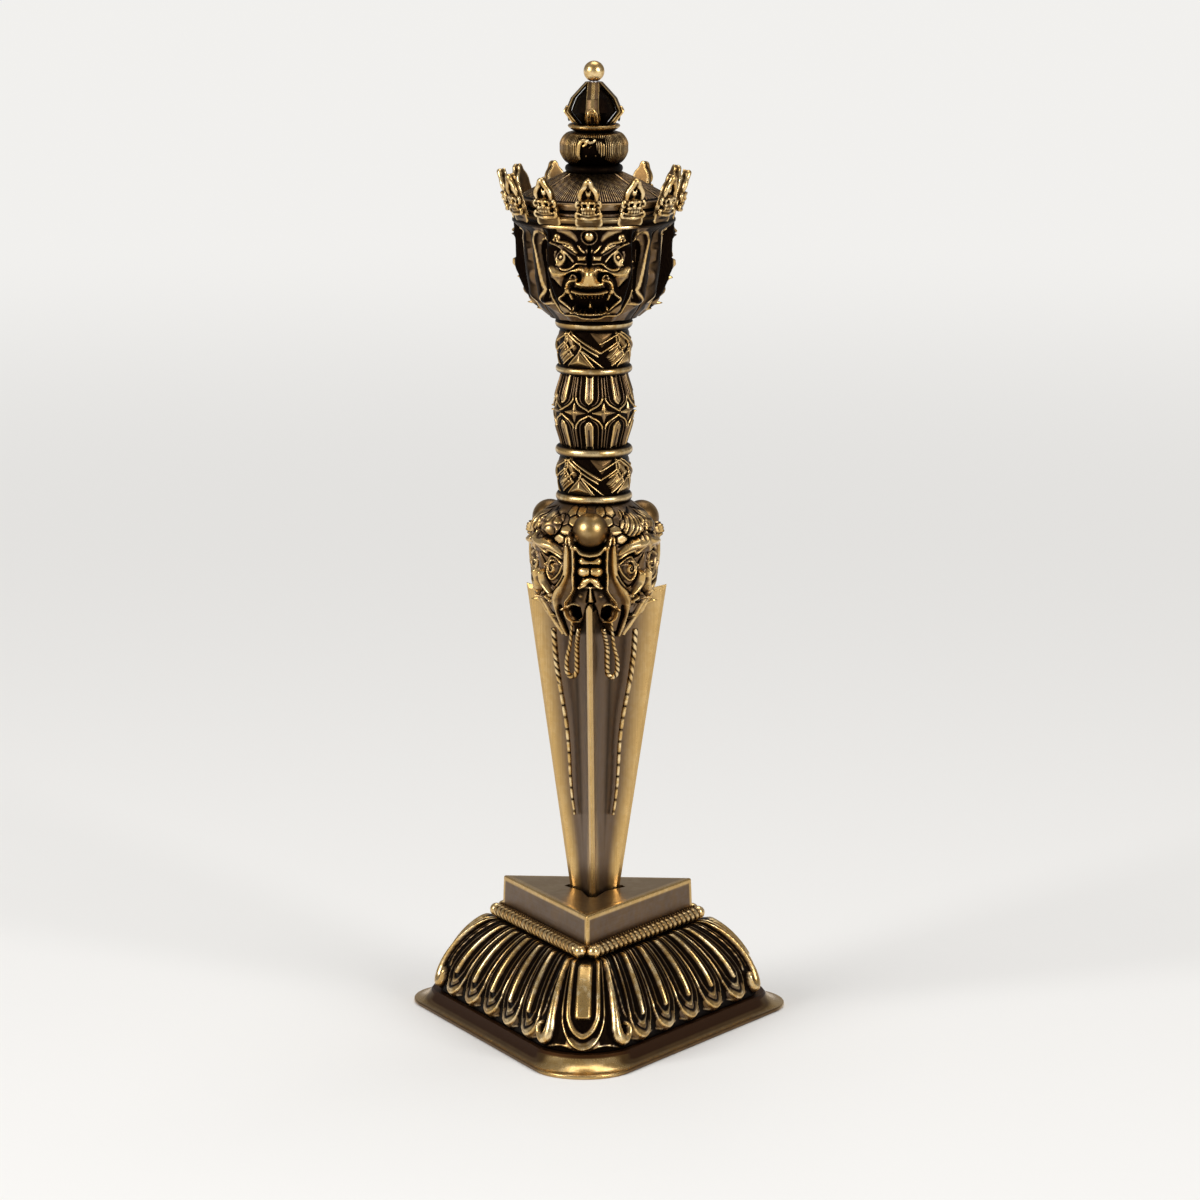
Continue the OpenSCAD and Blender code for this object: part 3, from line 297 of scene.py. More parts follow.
def applied(obj, kind, **settings):
    """Sets up a modifier on the object and applies it."""
    select(obj)
    modifier = obj.modifiers.new(kind.title(), kind)
    for key, value in settings.items():
        setattr(modifier, key, value)
    bpy.ops.object.modifier_apply(modifier=modifier.name)


def new_mesh(name, verts, faces, relief=None, angle=None):
    """An object from points in millimetres, with its relief stored for its material."""
    mesh = bpy.data.meshes.new(name)
    mesh.from_pydata((np.asarray(verts, float) * MM).tolist(), [], faces)
    mesh.validate()
    if relief is not None:
        store(mesh, "relief", relief)
    obj = bpy.data.objects.new(name, mesh)
    bpy.context.scene.collection.objects.link(obj)
    shade(obj, angle)
    return obj


def shade(obj, angle=None):
    select(obj)
    if angle is None:
        bpy.ops.object.shade_smooth()
    else:
        bpy.ops.object.shade_smooth_by_angle(angle=radians(angle))


def store(mesh, name, values):
    layer = mesh.attributes.new(name, "FLOAT", "POINT")
    layer.data.foreach_set("value", np.ascontiguousarray(values, dtype=np.float32))


def shell(grid, hollow=False):
    """Points and faces of a skin over rings of points, closed at its ends unless it is hollow."""
    rows, cols = grid.shape[:2]
    j, i = np.meshgrid(np.arange(rows if hollow else rows - 1), np.arange(cols), indexing="ij")
    k, up = (i + 1) % cols, (j + 1) % rows
    quads = np.stack([j * cols + i, j * cols + k, up * cols + k, up * cols + i], -1).reshape(-1, 4)
    verts, faces = grid.reshape(-1, 3), quads.tolist()
    if not hollow:
        verts = np.vstack([verts, grid[0].mean(0), grid[-1].mean(0)])
        n = rows * cols
        faces += [[n, (i + 1) % cols, i] for i in range(cols)]
        faces += [[n + 1, n - cols + i, n - cols + (i + 1) % cols] for i in range(cols)]
    return verts, faces


def skin(grid, relief, hollow=False):
    """Points, faces and relief of a closed skin over rings of points."""
    verts, faces = shell(grid, hollow)
    flat = np.broadcast_to(relief, grid.shape[:2]).ravel()
    ends = relief if np.isscalar(relief) else 0.0
    return verts, faces, np.concatenate([flat, np.full(len(verts) - len(flat), ends)])


def joined(parts):
    """One mesh's points, faces and relief from those of several skins."""
    faces, n = [], 0
    for verts, some, _ in parts:
        faces += [[i + n for i in face] for face in some]
        n += len(verts)
    return np.vstack([part[0] for part in parts]), faces, np.concatenate([part[2] for part in parts])


def turned(points, a):
    """The points turned about the dagger's axis."""
    x, y = points[..., 0], points[..., 1]
    return np.stack([x * cos(a) - y * sin(a), x * sin(a) + y * cos(a), points[..., 2]], -1)


def sweep(path, radius, sides=16, up=(0.0, 0.0, 1.0)):
    """Rings along a path. radius is a function of the length along it and the angle round it."""
    p = np.asarray(path, float)
    t = np.gradient(p, axis=0)
    t /= np.linalg.norm(t, axis=1)[:, None]
    s = run_along(p)
    u = np.cross(np.asarray(up, float), t[0])
    frames = []
    for tangent in t:
        u = u - tangent * (u @ tangent)
        u /= np.linalg.norm(u)
        frames.append(u)
    u = np.array(frames)
    v = np.cross(t, u)
    a = round_angles(sides)
    r = radius(s[:, None], a[None, :])
    across = u[:, None, :] * np.cos(a)[None, :, None] + v[:, None, :] * np.sin(a)[None, :, None]
    return p[:, None, :] + r[..., None] * across


def spread(h, n, pick):
    """The greatest or least of the field within n cells each way."""
    for axis in (0, 1):
        h = np.moveaxis(h, axis, 0)
        padded = np.pad(h, ((n, n), (0, 0)), mode="edge")
        out = h
        for s in range(2 * n + 1):
            out = pick(out, padded[s:s + len(h)])
        h = np.moveaxis(out, 0, axis)
    return h


def relief_of(h, step, fine=0.45, broad=1.8, gap=0.85, depth=0.3):
    """Which points are rubbed and which are black: -1 in the gaps narrower than gap, 1 on the ridges."""
    n = max(1, round(gap / step / 2))
    closed = spread(spread(h, n, np.maximum), n, np.minimum)
    sunk = clamp((closed - h) / (1.5 * depth) - 0.2, 0, 1.5)
    ridge = clamp((h - blurred(h, fine / step)) / depth, -0.35, 1)
    lift = clamp((h - blurred(h, broad / step)) / (2.0 * depth), -0.5, 0.7)
    return clamp(0.8 * ridge + 0.6 * lift - sunk, -1, 1)


def hollows(obj, rounds=14, depth=0.12):
    """Stores the relief of a free form, from how far its surface stands out of its smoothed self."""
    mesh = obj.data
    n = len(mesh.vertices)
    p, normal = np.empty(n * 3), np.empty(n * 3)
    mesh.vertices.foreach_get("co", p)
    mesh.vertices.foreach_get("normal", normal)
    p, normal = p.reshape(-1, 3) / MM, normal.reshape(-1, 3)
    edges = np.empty(len(mesh.edges) * 2, int)
    mesh.edges.foreach_get("vertices", edges)
    a, b = np.concatenate([edges[::2], edges[1::2]]), np.concatenate([edges[1::2], edges[::2]])
    count = np.maximum(np.bincount(a, minlength=n), 1)[:, None]
    q = p.copy()
    for _ in range(rounds):
        around = np.stack([np.bincount(a, q[b, k], minlength=n) for k in range(3)], -1) / count
        q = 0.35 * q + 0.65 * around
    out = np.einsum("ij,ij->i", p - q, normal) / depth
    store(mesh, "relief", clamp(out, -1, 1))
    return obj


def remeshed(obj, voxel, rounds):
    """Fuses overlapping forms into one cast skin and eases it."""
    applied(obj, "REMESH", mode="VOXEL", voxel_size=voxel * MM)
    applied(obj, "SMOOTH", factor=0.5, iterations=rounds)
    shade(obj)
    return obj


def settle(obj, body, nodes, material):
    """Rides a finished piece on its body, hides the CAD nodes it stands for and gives it its finish."""
    obj.data.materials.clear()
    obj.data.materials.append(material)
    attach(obj, body)
    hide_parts(*nodes)
    return obj


# Finishes

class Field:
    """A number that varies over a surface. Arithmetic on it adds Math nodes to its paint."""

    def __init__(self, paint, socket):
        self.paint, self.socket = paint, socket

    def _math(self, operation, a, b):
        return self.paint.node("ShaderNodeMath", {0: a, 1: b}, operation=operation)

    def __add__(self, other):
        return self._math("ADD", self, other)

    def __radd__(self, other):
        return self._math("ADD", other, self)

    def __sub__(self, other):
        return self._math("SUBTRACT", self, other)

    def __rsub__(self, other):
        return self._math("SUBTRACT", other, self)

    def __mul__(self, other):
        return self._math("MULTIPLY", self, other)

    def __rmul__(self, other):
        return self._math("MULTIPLY", other, self)


class Paint:
    """A material's nodes, round its one shader."""

    def __init__(self, name):
        self.material = bpy.data.materials.new(name)
        self.material.use_nodes = True
        self.tree = self.material.node_tree
        self.shader = self.tree.nodes["Principled BSDF"]

    def node(self, kind, values=None, output=0, **settings):
        """A node of the given type, set up first and then fed with values or links."""
        made = self.tree.nodes.new(kind)
        for key, value in settings.items():
            setattr(made, key, value)
        for key, value in (values or {}).items():
            if isinstance(value, Field):
                self.tree.links.new(value.socket, made.inputs[key])
            else:
                made.inputs[key].default_value = value
        return Field(self, made.outputs[output])

    def step(self, value, low, high):
        """0 where the value is under low and 1 over high, soft between."""
        return self.node("ShaderNodeMapRange", {0: value, 1: low, 2: high}, interpolation_type="SMOOTHSTEP")

    def mix(self, share, a, b):
        return self.node("ShaderNodeMix", {0: share, 6: a, 7: b}, output=2, data_type="RGBA")

    def noise(self, per_mm, detail=3.0, stretch=(1.0, 1.0, 1.0)):
        """Noise with a grain of so many to the millimetre, from 0 to 1, drawn out where stretch is small."""
        place = self.node("ShaderNodeTexCoord", output=3)
        place = self.node("ShaderNodeMapping", {0: place, 3: stretch})
        return self.node("ShaderNodeTexNoise", {0: place, 2: per_mm / MM, 3: detail})

    def stored(self, name):
        return self.node("ShaderNodeAttribute", output=2, attribute_name=name, attribute_type="GEOMETRY")

    def bump(self, height, strength, depth_mm):
        return self.node("ShaderNodeBump", {0: strength, 1: depth_mm * MM, "Height": height})

    def feed(self, **values):
        for key, value in values.items():
            socket = self.shader.inputs[key.replace("_", " ")]
            if isinstance(value, Field):
                self.tree.links.new(value.socket, socket)
            else:
                socket.default_value = value
        return self.material


def rgba(rgb):
    return (*rgb, 1.0)


def brass(name, looks, wear=0.0, darkness=0.0, ground=None, brushed=None, polish=0.0, lilac=0.0, grain=1.0,
          cloudy=1.0):
    """Old brass: rubbed bright on what stands out, brown between, black in the grounds, with any painted
    highlight and painted shade that a piece puts into its relief.

    wear moves the bright parts inwards, darkness the black ones outwards; brushed is the way of fine lines,
    and cloudy is how patchy the old colour has become.
    """
    p = Paint(name)
    relief = p.stored("relief")
    clouds = p.noise(0.13, 3.0)
    mottle = p.noise(0.7, 4.0)
    fine = p.noise(4.0, 3.0)
    scratches = p.noise(2.6, 3.0, brushed) if brushed else p.noise(3.2, 2.0, (1.0, 1.0, 0.25))
    height = relief + ((mottle - 0.5) * 0.22 + (clouds - 0.5) * 0.3) * cloudy
    # Bright where the brass is rubbed and where a piece paints a highlight into its relief; black in the
    # grounds and where a piece paints shade into it
    rubbed = p.step(height, 0.12 - wear, 0.8 - wear)
    sunk = p.step(0.0 - height, 0.18 - darkness, 0.6 - darkness)
    bronze = p.mix(p.step(clouds, 0.4, 0.62) * cloudy, rgba(looks.bronze), rgba(looks.umber))
    patches = p.step(mottle, 0.38, 0.66) * cloudy + 0.5 * (1 - cloudy)
    body = p.mix(patches * lilac, bronze, rgba(looks.lilac)) if lilac else bronze
    gold = p.mix(p.step(mottle + clouds, 0.9, 1.15) * cloudy, rgba(looks.gold), rgba(looks.pale_gold))
    colour = p.mix(rubbed, body, gold)
    colour = p.mix(sunk, colour, rgba(ground or looks.ground))
    streaks = p.step(scratches, 0.3, 0.75)
    colour = p.mix(streaks * (0.16 if brushed else 0.06), colour, rgba(looks.umber))
    rough = looks.roughness - 0.08 * rubbed + 0.2 * sunk
    rough = rough + (fine - 0.5) * 0.1 + (scratches - 0.5) * 0.12 - polish
    bump = p.bump(fine * 0.4 + scratches * 0.5 + mottle * 0.3, 0.14 * grain, 0.04)
    return p.feed(Base_Color=colour, Metallic=1.0, Roughness=rough, Normal=bump)


# Settings a user would change

def a_length(name, description, default, low, high):
    return bpy.props.FloatProperty(name=name, description=description, default=default, min=low, max=high,
                                   unit="LENGTH")


def a_share(name, description, default):
    return bpy.props.FloatProperty(name=name, description=description, default=default, min=0.0, max=1.0,
                                   subtype="FACTOR")


def a_count(name, description, default, low, high):
    return bpy.props.IntProperty(name=name, description=description, default=default, min=low, max=high)


def a_colour(name, description, default):
    return bpy.props.FloatVectorProperty(name=name, description=description, default=default, size=3,
                                         min=0.0, max=1.0, subtype="COLOR")


class DaggerLooks(bpy.types.PropertyGroup):
    gold: a_colour("Rubbed brass", "Colour where hands have rubbed the brass bright", (0.63, 0.405, 0.15))
    pale_gold: a_colour("Worn edge", "Colour of the palest worn edges", (0.85, 0.64, 0.34))
    bronze: a_colour("Brown brass", "Colour of the brass between ridges and grounds", (0.165, 0.092, 0.033))
    umber: a_colour("Dark brass", "Colour of the darker clouds in the brown brass", (0.07, 0.04, 0.016))
    lilac: a_colour("Lilac patina", "Colour of the greyish sheen on broad flats", (0.17, 0.14, 0.13))
    ground: a_colour("Ground", "Colour of the blackened grounds", (0.004, 0.002, 0.0013))
    rust: a_colour("Reddish patina", "Colour of the patina along the foot", (0.05, 0.02, 0.007))
    floor: a_colour("Floor", "Colour of the floor and the backdrop", (0.86, 0.85, 0.83))
    roughness: a_share("Roughness", "Roughness of the brown brass", 0.36)


class StandSizes(bpy.types.PropertyGroup):
    petals: a_count("Petals", "Lotus petals along each side", 5, 4, 7)
    ribs: a_count("Ribs", "Ribs along each side of the rope moulding", 22, 16, 28)
    bead: a_length("Bead", "Radius of the beads between rope and plinth", 0.00032, 0.0002, 0.0005)
    bevel: a_length("Bevel", "Bevel along the plinth's edges", 0.00045, 0.0002, 0.001)


class DaggerSizes(bpy.types.PropertyGroup):
    twist: a_length("Twist", "Length of one turn of the twisted whiskers", 0.0042, 0.002, 0.008)
    leaves: a_count("Leaves", "Skull leaves round the crown", 12, 9, 15)
    grip_petals: a_count("Grip petals", "Petals round the grip in each row", 8, 6, 10)
    band_units: a_count("Band units", "Interlaced units round each woven band", 4, 3, 6)
    combed: a_count("Combed lines", "Combed lines round the hair cap", 180, 120, 240)


# The stand

PLATE_TOP = node_z("foot_plate")[1]
SKIRT_FOOT, SKIRT_TOP = node_z("lotus_skirt")
PLINTH_TOP = node_z("plinth_block")[1]


def inner(side):
    """From the middle of a triangle to its side."""
    return side / (2 * sqrt(3))


PLATE_IN, SKIRT_IN, PLINTH_IN, PLINTH_FOOT_IN = inner(111), inner(101), inner(46.4), inner(47.2)
FOOT_CORNER = 13.0
SPIGOT_R = 10.5
ROPE_R = 1.6
ROPE_IN = PLINTH_FOOT_IN + 0.12 + ROPE_R
SKIRT_RIM_IN = ROPE_IN + 0.6 * ROPE_R
SKIRT_RIM_CORNER = 2.5
# The chart of one side of the skirt: its length from corner to corner and its height up the slope
SIDE_CHART, SLOPE_CHART = 83.2, 24.4


def tri_place(a, r, u):
    """Points and outward angles at u sides round a rounded triangle: a to its side, corner radius r."""
    a, r, u = np.broadcast_arrays(np.asarray(a, float), np.asarray(r, float), np.asarray(u, float))
    k = np.floor(u)
    th = np.radians(-90 + SECTOR * k)
    arc, run = r * 2 * pi / 3, 2 * sqrt(3) * (a - r)
    s = (u - k) * (arc + run)
    reach = 2 * (a - r)
    before, after = s < arc / 2, s >= arc / 2 + run
    angle = np.where(before, th + s / r, np.where(after, th + pi / 3 + (s - arc / 2 - run) / r, th + pi / 3))
    base = np.where(after, th + 2 * pi / 3, th)
    x, y = reach * np.cos(base) + r * np.cos(angle), reach * np.sin(base) + r * np.sin(angle)
    on = np.where(before | after, 0.0, s - arc / 2)
    x, y = x + on * np.cos(th + radians(150)), y + on * np.sin(th + radians(150))
    return x, y, angle


def tri_rings(rows, steps):
    """Rings round rounded triangles: each row gives the side's distance, the corner radius and the height."""
    u = np.linspace(0, 3, steps, endpoint=False)[None, :]
    a, r, z = (np.array(c, float)[:, None] for c in zip(*rows))
    x, y, _ = tri_place(a, r, u)
    return np.stack([x, y, np.broadcast_to(z, x.shape)], -1)


def make_foot_plate(looks):
    """The foot: a thin rounded edge and a flange that rises in a hollow curve to the skirt."""
    steps, flange_foot = 720, 1.0
    rise = PLATE_TOP - flange_foot

    def drawn_in(by, z):
        return PLATE_IN - by, FOOT_CORNER - by, z

    rows = [drawn_in(5, 0.0), drawn_in(0.25, 0.0), drawn_in(0, 0.25), drawn_in(0, 0.8), drawn_in(0.12, 0.95)]
    edge = len(rows)
    rows += [(mixed(PLATE_IN - 0.3, SKIRT_IN, t), mixed(FOOT_CORNER - 0.3, FOOT_CORNER, t),
              flange_foot + rise * t**2) for t in np.linspace(0, 1, 17)]
    rows += [(SKIRT_IN - 1.5, FOOT_CORNER - 1.5, PLATE_TOP)]
    grid = tri_rings(rows, steps)
    # The corners are rubbed bright, and along the sides the flange darkens upwards
    place = np.arange(steps) / (steps / 3) % 1.0
    corner = smooth(abs(place - 0.5) * 2, 0.62, 0.86)[None, :]
    up = clamp((grid[..., 2] - flange_foot) / rise)
    relief = mixed(mixed(0.25, -0.75, smooth(up, 0.02, 0.5)), mixed(0.7, 0.25, smooth(up, 0.5, 1.0)), corner)
    relief[:edge] = mixed(-0.1, 0.5, corner)
    relief[-3:] = BLACK
    obj = new_mesh("cast_foot_plate", *skin(grid, relief), angle=50)
    finish = brass("Foot brass", looks, wear=0.1, ground=looks.rust, polish=0.04, grain=0.6, cloudy=0.35)
    return settle(obj, "stand", ["foot_plate"], finish)


def petal_outline(x, half, foot, top):
    """The U of a petal about x, its tip at the height foot."""
    side = [(1.0, top), (1.0, foot + 1.7 * half), (0.86, foot + 0.85 * half), (0.5, foot + 0.26 * half)]
    left, right = ([(x + hand * half * a, y) for a, y in side] for hand in (-1, 1))
    return curve(left + [(x, foot)] + right[::-1], 5)


def skirt_chart(sizes):
    """Relief of half a side, from a corner petal's middle to the middle of the side."""
    chart = Chart(0, SIDE_CHART, 0, SLOPE_CHART, SIDE_CHART / 320)
    chart.x = SIDE_CHART / 2 - abs(chart.real_x - SIDE_CHART / 2)
    corner, scroll = 5.0, 8.57
    pitch = (SIDE_CHART - 2 * (corner + scroll)) / sizes.petals
    w = pitch / 2
    middles = [corner + scroll + pitch * (i + 0.5) for i in range((sizes.petals + 1) // 2)]
    top = SLOPE_CHART + 2
    chart.tone -= 0.95
    thin_to_thick = np.array([0.22, 0.24, 0.3, 0.62, 0.3, 0.24, 0.22])
    for x in middles:
        chart.plate(petal_outline(x, w * 0.97, 0.9, top), 0.75, 0.9)
        chart.dome(x, 2.9, w * 0.8, 2.6, 1.0, "soft", tone=0.1)
    for x in middles:
        chart.line(petal_outline(x, w * 0.68, 3.3, top), 0.34, -0.5, **GAP)
        chart.line(petal_outline(x, w * 0.87, 1.2, top), thin_to_thick, 0.75, tone=0.45)
        chart.line(petal_outline(x, w * 0.5, 4.9, top), thin_to_thick * 0.75, 0.5, tone=0.4)
        chart.line([(x, 22.4), (x, 17), (x, 12), (x, 7.3)], [0.85, 0.98, 0.95, 0.75], 1.35, tone=0.45)
        chart.line([(x - w * 0.82, 1.9), (x, 0.55), (x + w * 0.82, 1.9)], 0.3, 0.4, tone=0.3)
    # The corner petal: a broad bar, a broad band round it and a lip
    chart.plate(petal_outline(0, 6.0, 0.2, top), 0.7, 0.8)
    chart.dome(0, 2.2, 4.6, 2.2, 0.7, "soft", tone=0.1)
    chart.line(petal_outline(0, 5.6, 1.0, top), [0.26, 0.28, 0.36, 0.62, 0.36, 0.28, 0.26], 0.75, tone=0.5)
    chart.line(petal_outline(0, 4.75, 3.0, top), 0.42, -0.4, **GAP)
    chart.line(petal_outline(0, 3.85, 4.2, top), 0.72, 0.85, tone=0.4)
    chart.line(curve([(1.0, 0.5), (3.9, 1.4), (6.6, 1.5), (9.6, 0.7)], 4), 0.26, 0.4, tone=0.5)
    bar = [(1.4, 22.6), (2.35, 21.4), (2.35, 8.9), (1.9, 7.9)]
    chart.plate(bar + [(-x, y) for x, y in bar[::-1]], 1.5, 0.75, tone=0.42)
    # The scroll beside it, curled up round an open eye
    stem = curve([(6.4, top), (7.0, 20), (7.8, 14), (8.3, 9), (8.7, 5.6), (9.5, 3.3), (11.1, 2.4),
                  (12.5, 3.6), (12.4, 5.6), (11.3, 6.3)], 6)
    chart.plate(petal_outline(9.8, 3.7, 0.6, top), 0.45, 0.8)
    chart.line(stem, [0.5, 0.6, 0.8, 1.05, 1.35, 1.6, 1.5, 0.9, 0.62, 0.5], 1.7, tone=0.42)
    chart.dome(10.9, 4.7, 0.7, 0.9, -1.2, **GAP)
    chart.line(curve([(9.8, top), (10.8, 16), (11.6, 10), (12.7, 7.4)], 6), 0.26, 0.5, tone=0.4)
    chart.line(curve([(8.3, top), (9.2, 16), (10.0, 10), (10.3, 8)], 6), 0.22, 0.4, tone=0.3)
    # The relief dies out at the foot and under the rope
    chart.h *= smooth(chart.y, 0.05, 0.5) * smooth(SLOPE_CHART - 0.2 - chart.y, 0.0, 1.6)
    chart.soften(0.7)
    return chart


def make_lotus_skirt(looks, sizes):
    """The hollow skirt of petals, bored at its top for the plinth's spigot."""
    chart = skirt_chart(sizes)
    # Its bowed wall, measured along the slope
    t = np.linspace(0, 1, 400)
    fall = 1 - (1 - t**1.8) ** 0.8
    a, r = mixed(SKIRT_IN, SKIRT_RIM_IN, fall), mixed(FOOT_CORNER, SKIRT_RIM_CORNER, fall)
    z = mixed(SKIRT_FOOT, SKIRT_TOP, t)
    s = run_along(np.column_stack([a, z]))
    s *= chart.y.max() / s[-1]
    rows = chart.y[:, 0]
    a, r, z = (np.interp(rows, s, v)[:, None] for v in (a, r, z))
    h, relief = (np.tile(v[:, :-1], 3) for v in (chart.h, clamp(chart.relief(), -1, 1)))
    u = np.concatenate([k + chart.real_x[0, :-1] / SIDE_CHART for k in range(3)])[None, :]
    x, y, angle = tri_place(a - 1.35, np.maximum(r - 0.6, 1.2), u)
    out, lift = 0.93, 0.3 * smooth(rows, 2, 20)[:, None]
    grid = np.stack([x + h * out * np.cos(angle), y + h * out * np.sin(angle), z + h * lift], -1)
    # The bore and the hollow inside, down to the foot
    bore, roof, deep = SPIGOT_R + 0.05, 2.5, SKIRT_TOP - SKIRT_FOOT - 3
    inside = [(bore + 0.01, bore, SKIRT_TOP), (bore + 0.01, bore, SKIRT_TOP - roof),
              (SKIRT_RIM_IN - 3.4, 2.0, SKIRT_TOP - roof - 0.1)]
    inside += [(mixed(SKIRT_RIM_IN, SKIRT_IN, q) - 4.4, mixed(2.0, 9.0, q), SKIRT_TOP - 3 - f * deep)
               for q, f in ((0.45, 0.12), (0.8, 0.4), (1.0, 1.0))]
    wall = tri_rings(inside, grid.shape[1])
    relief = np.concatenate([relief, np.full(wall.shape[:2], -0.6)])
    obj = new_mesh("lotus_petal_skirt", *skin(np.concatenate([grid, wall]), relief, hollow=True))
    finish = brass("Petal brass", looks, wear=0.14, lilac=0.3)
    return settle(obj, "stand", ["lotus_skirt"], finish)


def side_length(inside):
    """Length of a triangle's side, from the distance between the side and the middle."""
    return 4 * inside * cos(radians(30))


def sides(inside, z):
    """The corner where each side of a triangle starts, and the way along that side."""
    for k in range(3):
        corner, along = 2 * inside * toward(heading(k)), toward(heading(k) + radians(150))
        yield np.array([*corner, z]), np.array([*along, 0.0])


def make_rope_moulding(looks, sizes):
    """The ribbed roll along each side, the balls at its corners and the beads behind it."""
    length, around = side_length(ROPE_IN), 30
    ball = 2 * ROPE_R + 0.12
    start = ball + 0.8 * ROPE_R
    z = SKIRT_TOP + ROPE_R
    pitch = (length - 2 * start) / sizes.ribs

    def ribs(at, angle):
        """0 in the grooves between the slanted ribs and 1 on the ribs."""
        return np.abs(np.sin(pi * (at / pitch + 0.34 * np.sin(angle - 0.6))))

    def radius(at, angle):
        return ROPE_R * (0.68 + 0.31 * ribs(at, angle) ** 0.5)

    s = np.linspace(start, length - start, sizes.ribs * 14 + 1)[:, None]
    relief = ribs(s - start, round_angles(around)) ** 0.6 * 1.75 - 1.05
    parts = []
    for corner, along in sides(ROPE_IN, z):
        parts.append(skin(sweep(corner + along * s, radius, around), relief))
        parts += [ball_at(corner + along * far, ROPE_R, 0.75) for far in (ball, length - ball)]
    # Tiny beads in the trough between the roll and the block
    bead, per_side = sizes.bead / MM, 44
    run = side_length(PLINTH_FOOT_IN + bead)
    for corner, along in sides(PLINTH_FOOT_IN + bead, z + ROPE_R * 0.72):
        parts += [ball_at(corner + along * run * (i + 0.5) / per_side, bead, -0.25, 8, 6)
                  for i in range(per_side)]
    obj = new_mesh("rope_roll_and_beads", *joined(parts))
    finish = brass("Rope brass", looks, wear=0.08, cloudy=0.6)
    return settle(obj, "stand", ["rope_moulding"], finish)


def ball_at(centre, r, relief=0.0, around=32, rows=20, squash=(1.0, 1.0, 1.0)):
    """A ball, or an egg where squash isn't even."""
    b = np.linspace(-pi / 2, pi / 2, rows + 1)[1:-1, None]
    grid = round_grid(np.cos(b), round_angles(around), np.sin(b)) * r * np.array(squash) + np.asarray(centre)
    verts, faces, relief = skin(grid, relief)
    pole = r * squash[2] * (1 - cos(pi / rows))
    verts[-2:, 2] += [-pole, pole]
    return verts, faces, relief


SLOT_GAP, SLOT_HALF = 1.2, 0.95


def slot_cutter(foot, top, fin, flute):
    """What cuts the slot's three arms: fin and flute are its reach along and between the blade's fins."""
    outline = []
    for k in range(3):
        tip, across = fin * toward(heading(k)), SLOT_HALF * toward(heading(k) + radians(90))
        outline += [flute * toward(heading(k) - radians(60)), tip - across, tip + across]
    return new_mesh("slot_cutter", *shell(np.array([[[x, y, z] for x, y in outline] for z in (foot, top)])))


def make_plinth_block(looks, sizes):
    """A three-sided block, bevelled all round, with the slot for the blade cut through it."""
    foot, top = SKIRT_TOP, PLINTH_TOP
    bpy.ops.mesh.primitive_cone_add(vertices=3, radius1=2 * PLINTH_FOOT_IN * MM, radius2=2 * PLINTH_IN * MM,
                                    depth=(top - foot) * MM, location=(0, 0, (foot + top) / 2 * MM),
                                    rotation=(0, 0, pi))
    obj = bpy.context.active_object
    obj.name = obj.data.name = "slotted_plinth"
    bpy.ops.object.transform_apply(location=True, rotation=True, scale=True)
    bpy.ops.object.mode_set(mode="EDIT")
    bpy.ops.mesh.select_all(action="SELECT")
    bpy.ops.mesh.bevel(offset=sizes.bevel, segments=4, profile=0.5, affect="EDGES")
    bpy.ops.mesh.select_all(action="DESELECT")
    bpy.ops.object.mode_set(mode="OBJECT")
    # Rings of faces along the bevels, so that their rubbed look ends near the edge
    for face in obj.data.polygons:
        face.select = face.area > 100 * MM * MM
    bpy.ops.object.mode_set(mode="EDIT")
    for thickness in (0.5, 0.7):
        bpy.ops.mesh.inset(thickness=thickness * MM, use_individual=True)
    bpy.ops.object.mode_set(mode="OBJECT")
    cutter = slot_cutter(foot - 2, top + 2, blade_reach(top) + SLOT_GAP, hollow_reach(top) + 0.6 * SLOT_GAP)
    applied(obj, "BOOLEAN", operation="DIFFERENCE", object=cutter, solver="EXACT")
    bpy.data.objects.remove(cutter)
    p = np.array([v.co[:] for v in obj.data.vertices]) / MM
    share = (p[:, 2] - foot) / (top - foot)
    side = mixed(PLINTH_FOOT_IN, PLINTH_IN, share)
    # How far each point lies inside each of the block's three sides, its top and its foot
    walls = [side - p[:, :2] @ toward(a) for a in np.radians([-30, 90, 210])]
    depths = np.sort(np.stack(walls + [top - p[:, 2], p[:, 2] - foot + 0.6]), axis=0)
    relief = mixed(1.0, np.where(p[:, 2] > top - 0.05, 0.38, -0.12), smooth(depths[1], 0.45, 1.5))
    # Painted shade: the walls of the slot are black
    relief[(np.hypot(p[:, 0], p[:, 1]) < 9.5) & (p[:, 2] < top - 0.2)] = BLACK
    store(obj.data, "relief", relief)
    shade(obj, 35)
    finish = brass("Block brass", looks, wear=0.06, brushed=(0.03, 0.03, 1.6), lilac=0.7, grain=0.6,
                   cloudy=0.3)
    return settle(obj, "stand", ["plinth_block"], finish)


# The blade

BLADE_TIP = node_z("blade")[0]
CORNER_Z = BLADE_TIP + 101.7
SHOULDER_Z = CORNER_Z - 3.3
BLADE_R, FLUTE_R = 19.65, 5.4
# The ground edge of a fin: how far it reaches in, and half the thickness where it starts
EDGE_DEPTH, EDGE_HALF = 1.2, 0.7
POINT_TOP, POINT_R, POINT_FLUTE = BLADE_TIP + 27.6, 6.9, 2.65


def blade_reach(z):
    return np.interp(z, [BLADE_TIP, POINT_TOP, CORNER_Z], [0.5, POINT_R, BLADE_R])


def hollow_reach(z):
    return np.interp(z, [BLADE_TIP, POINT_TOP, CORNER_Z], [0.25, POINT_FLUTE, FLUTE_R])


def fin_half(s, z):
    """Half thickness of a fin at the distance s along it."""
    back, flute = blade_reach(z) - EDGE_DEPTH, hollow_reach(z)
    return mixed(EDGE_HALF, flute * sin(radians(60)), clamp((back - s) / (back - flute * 0.5)))


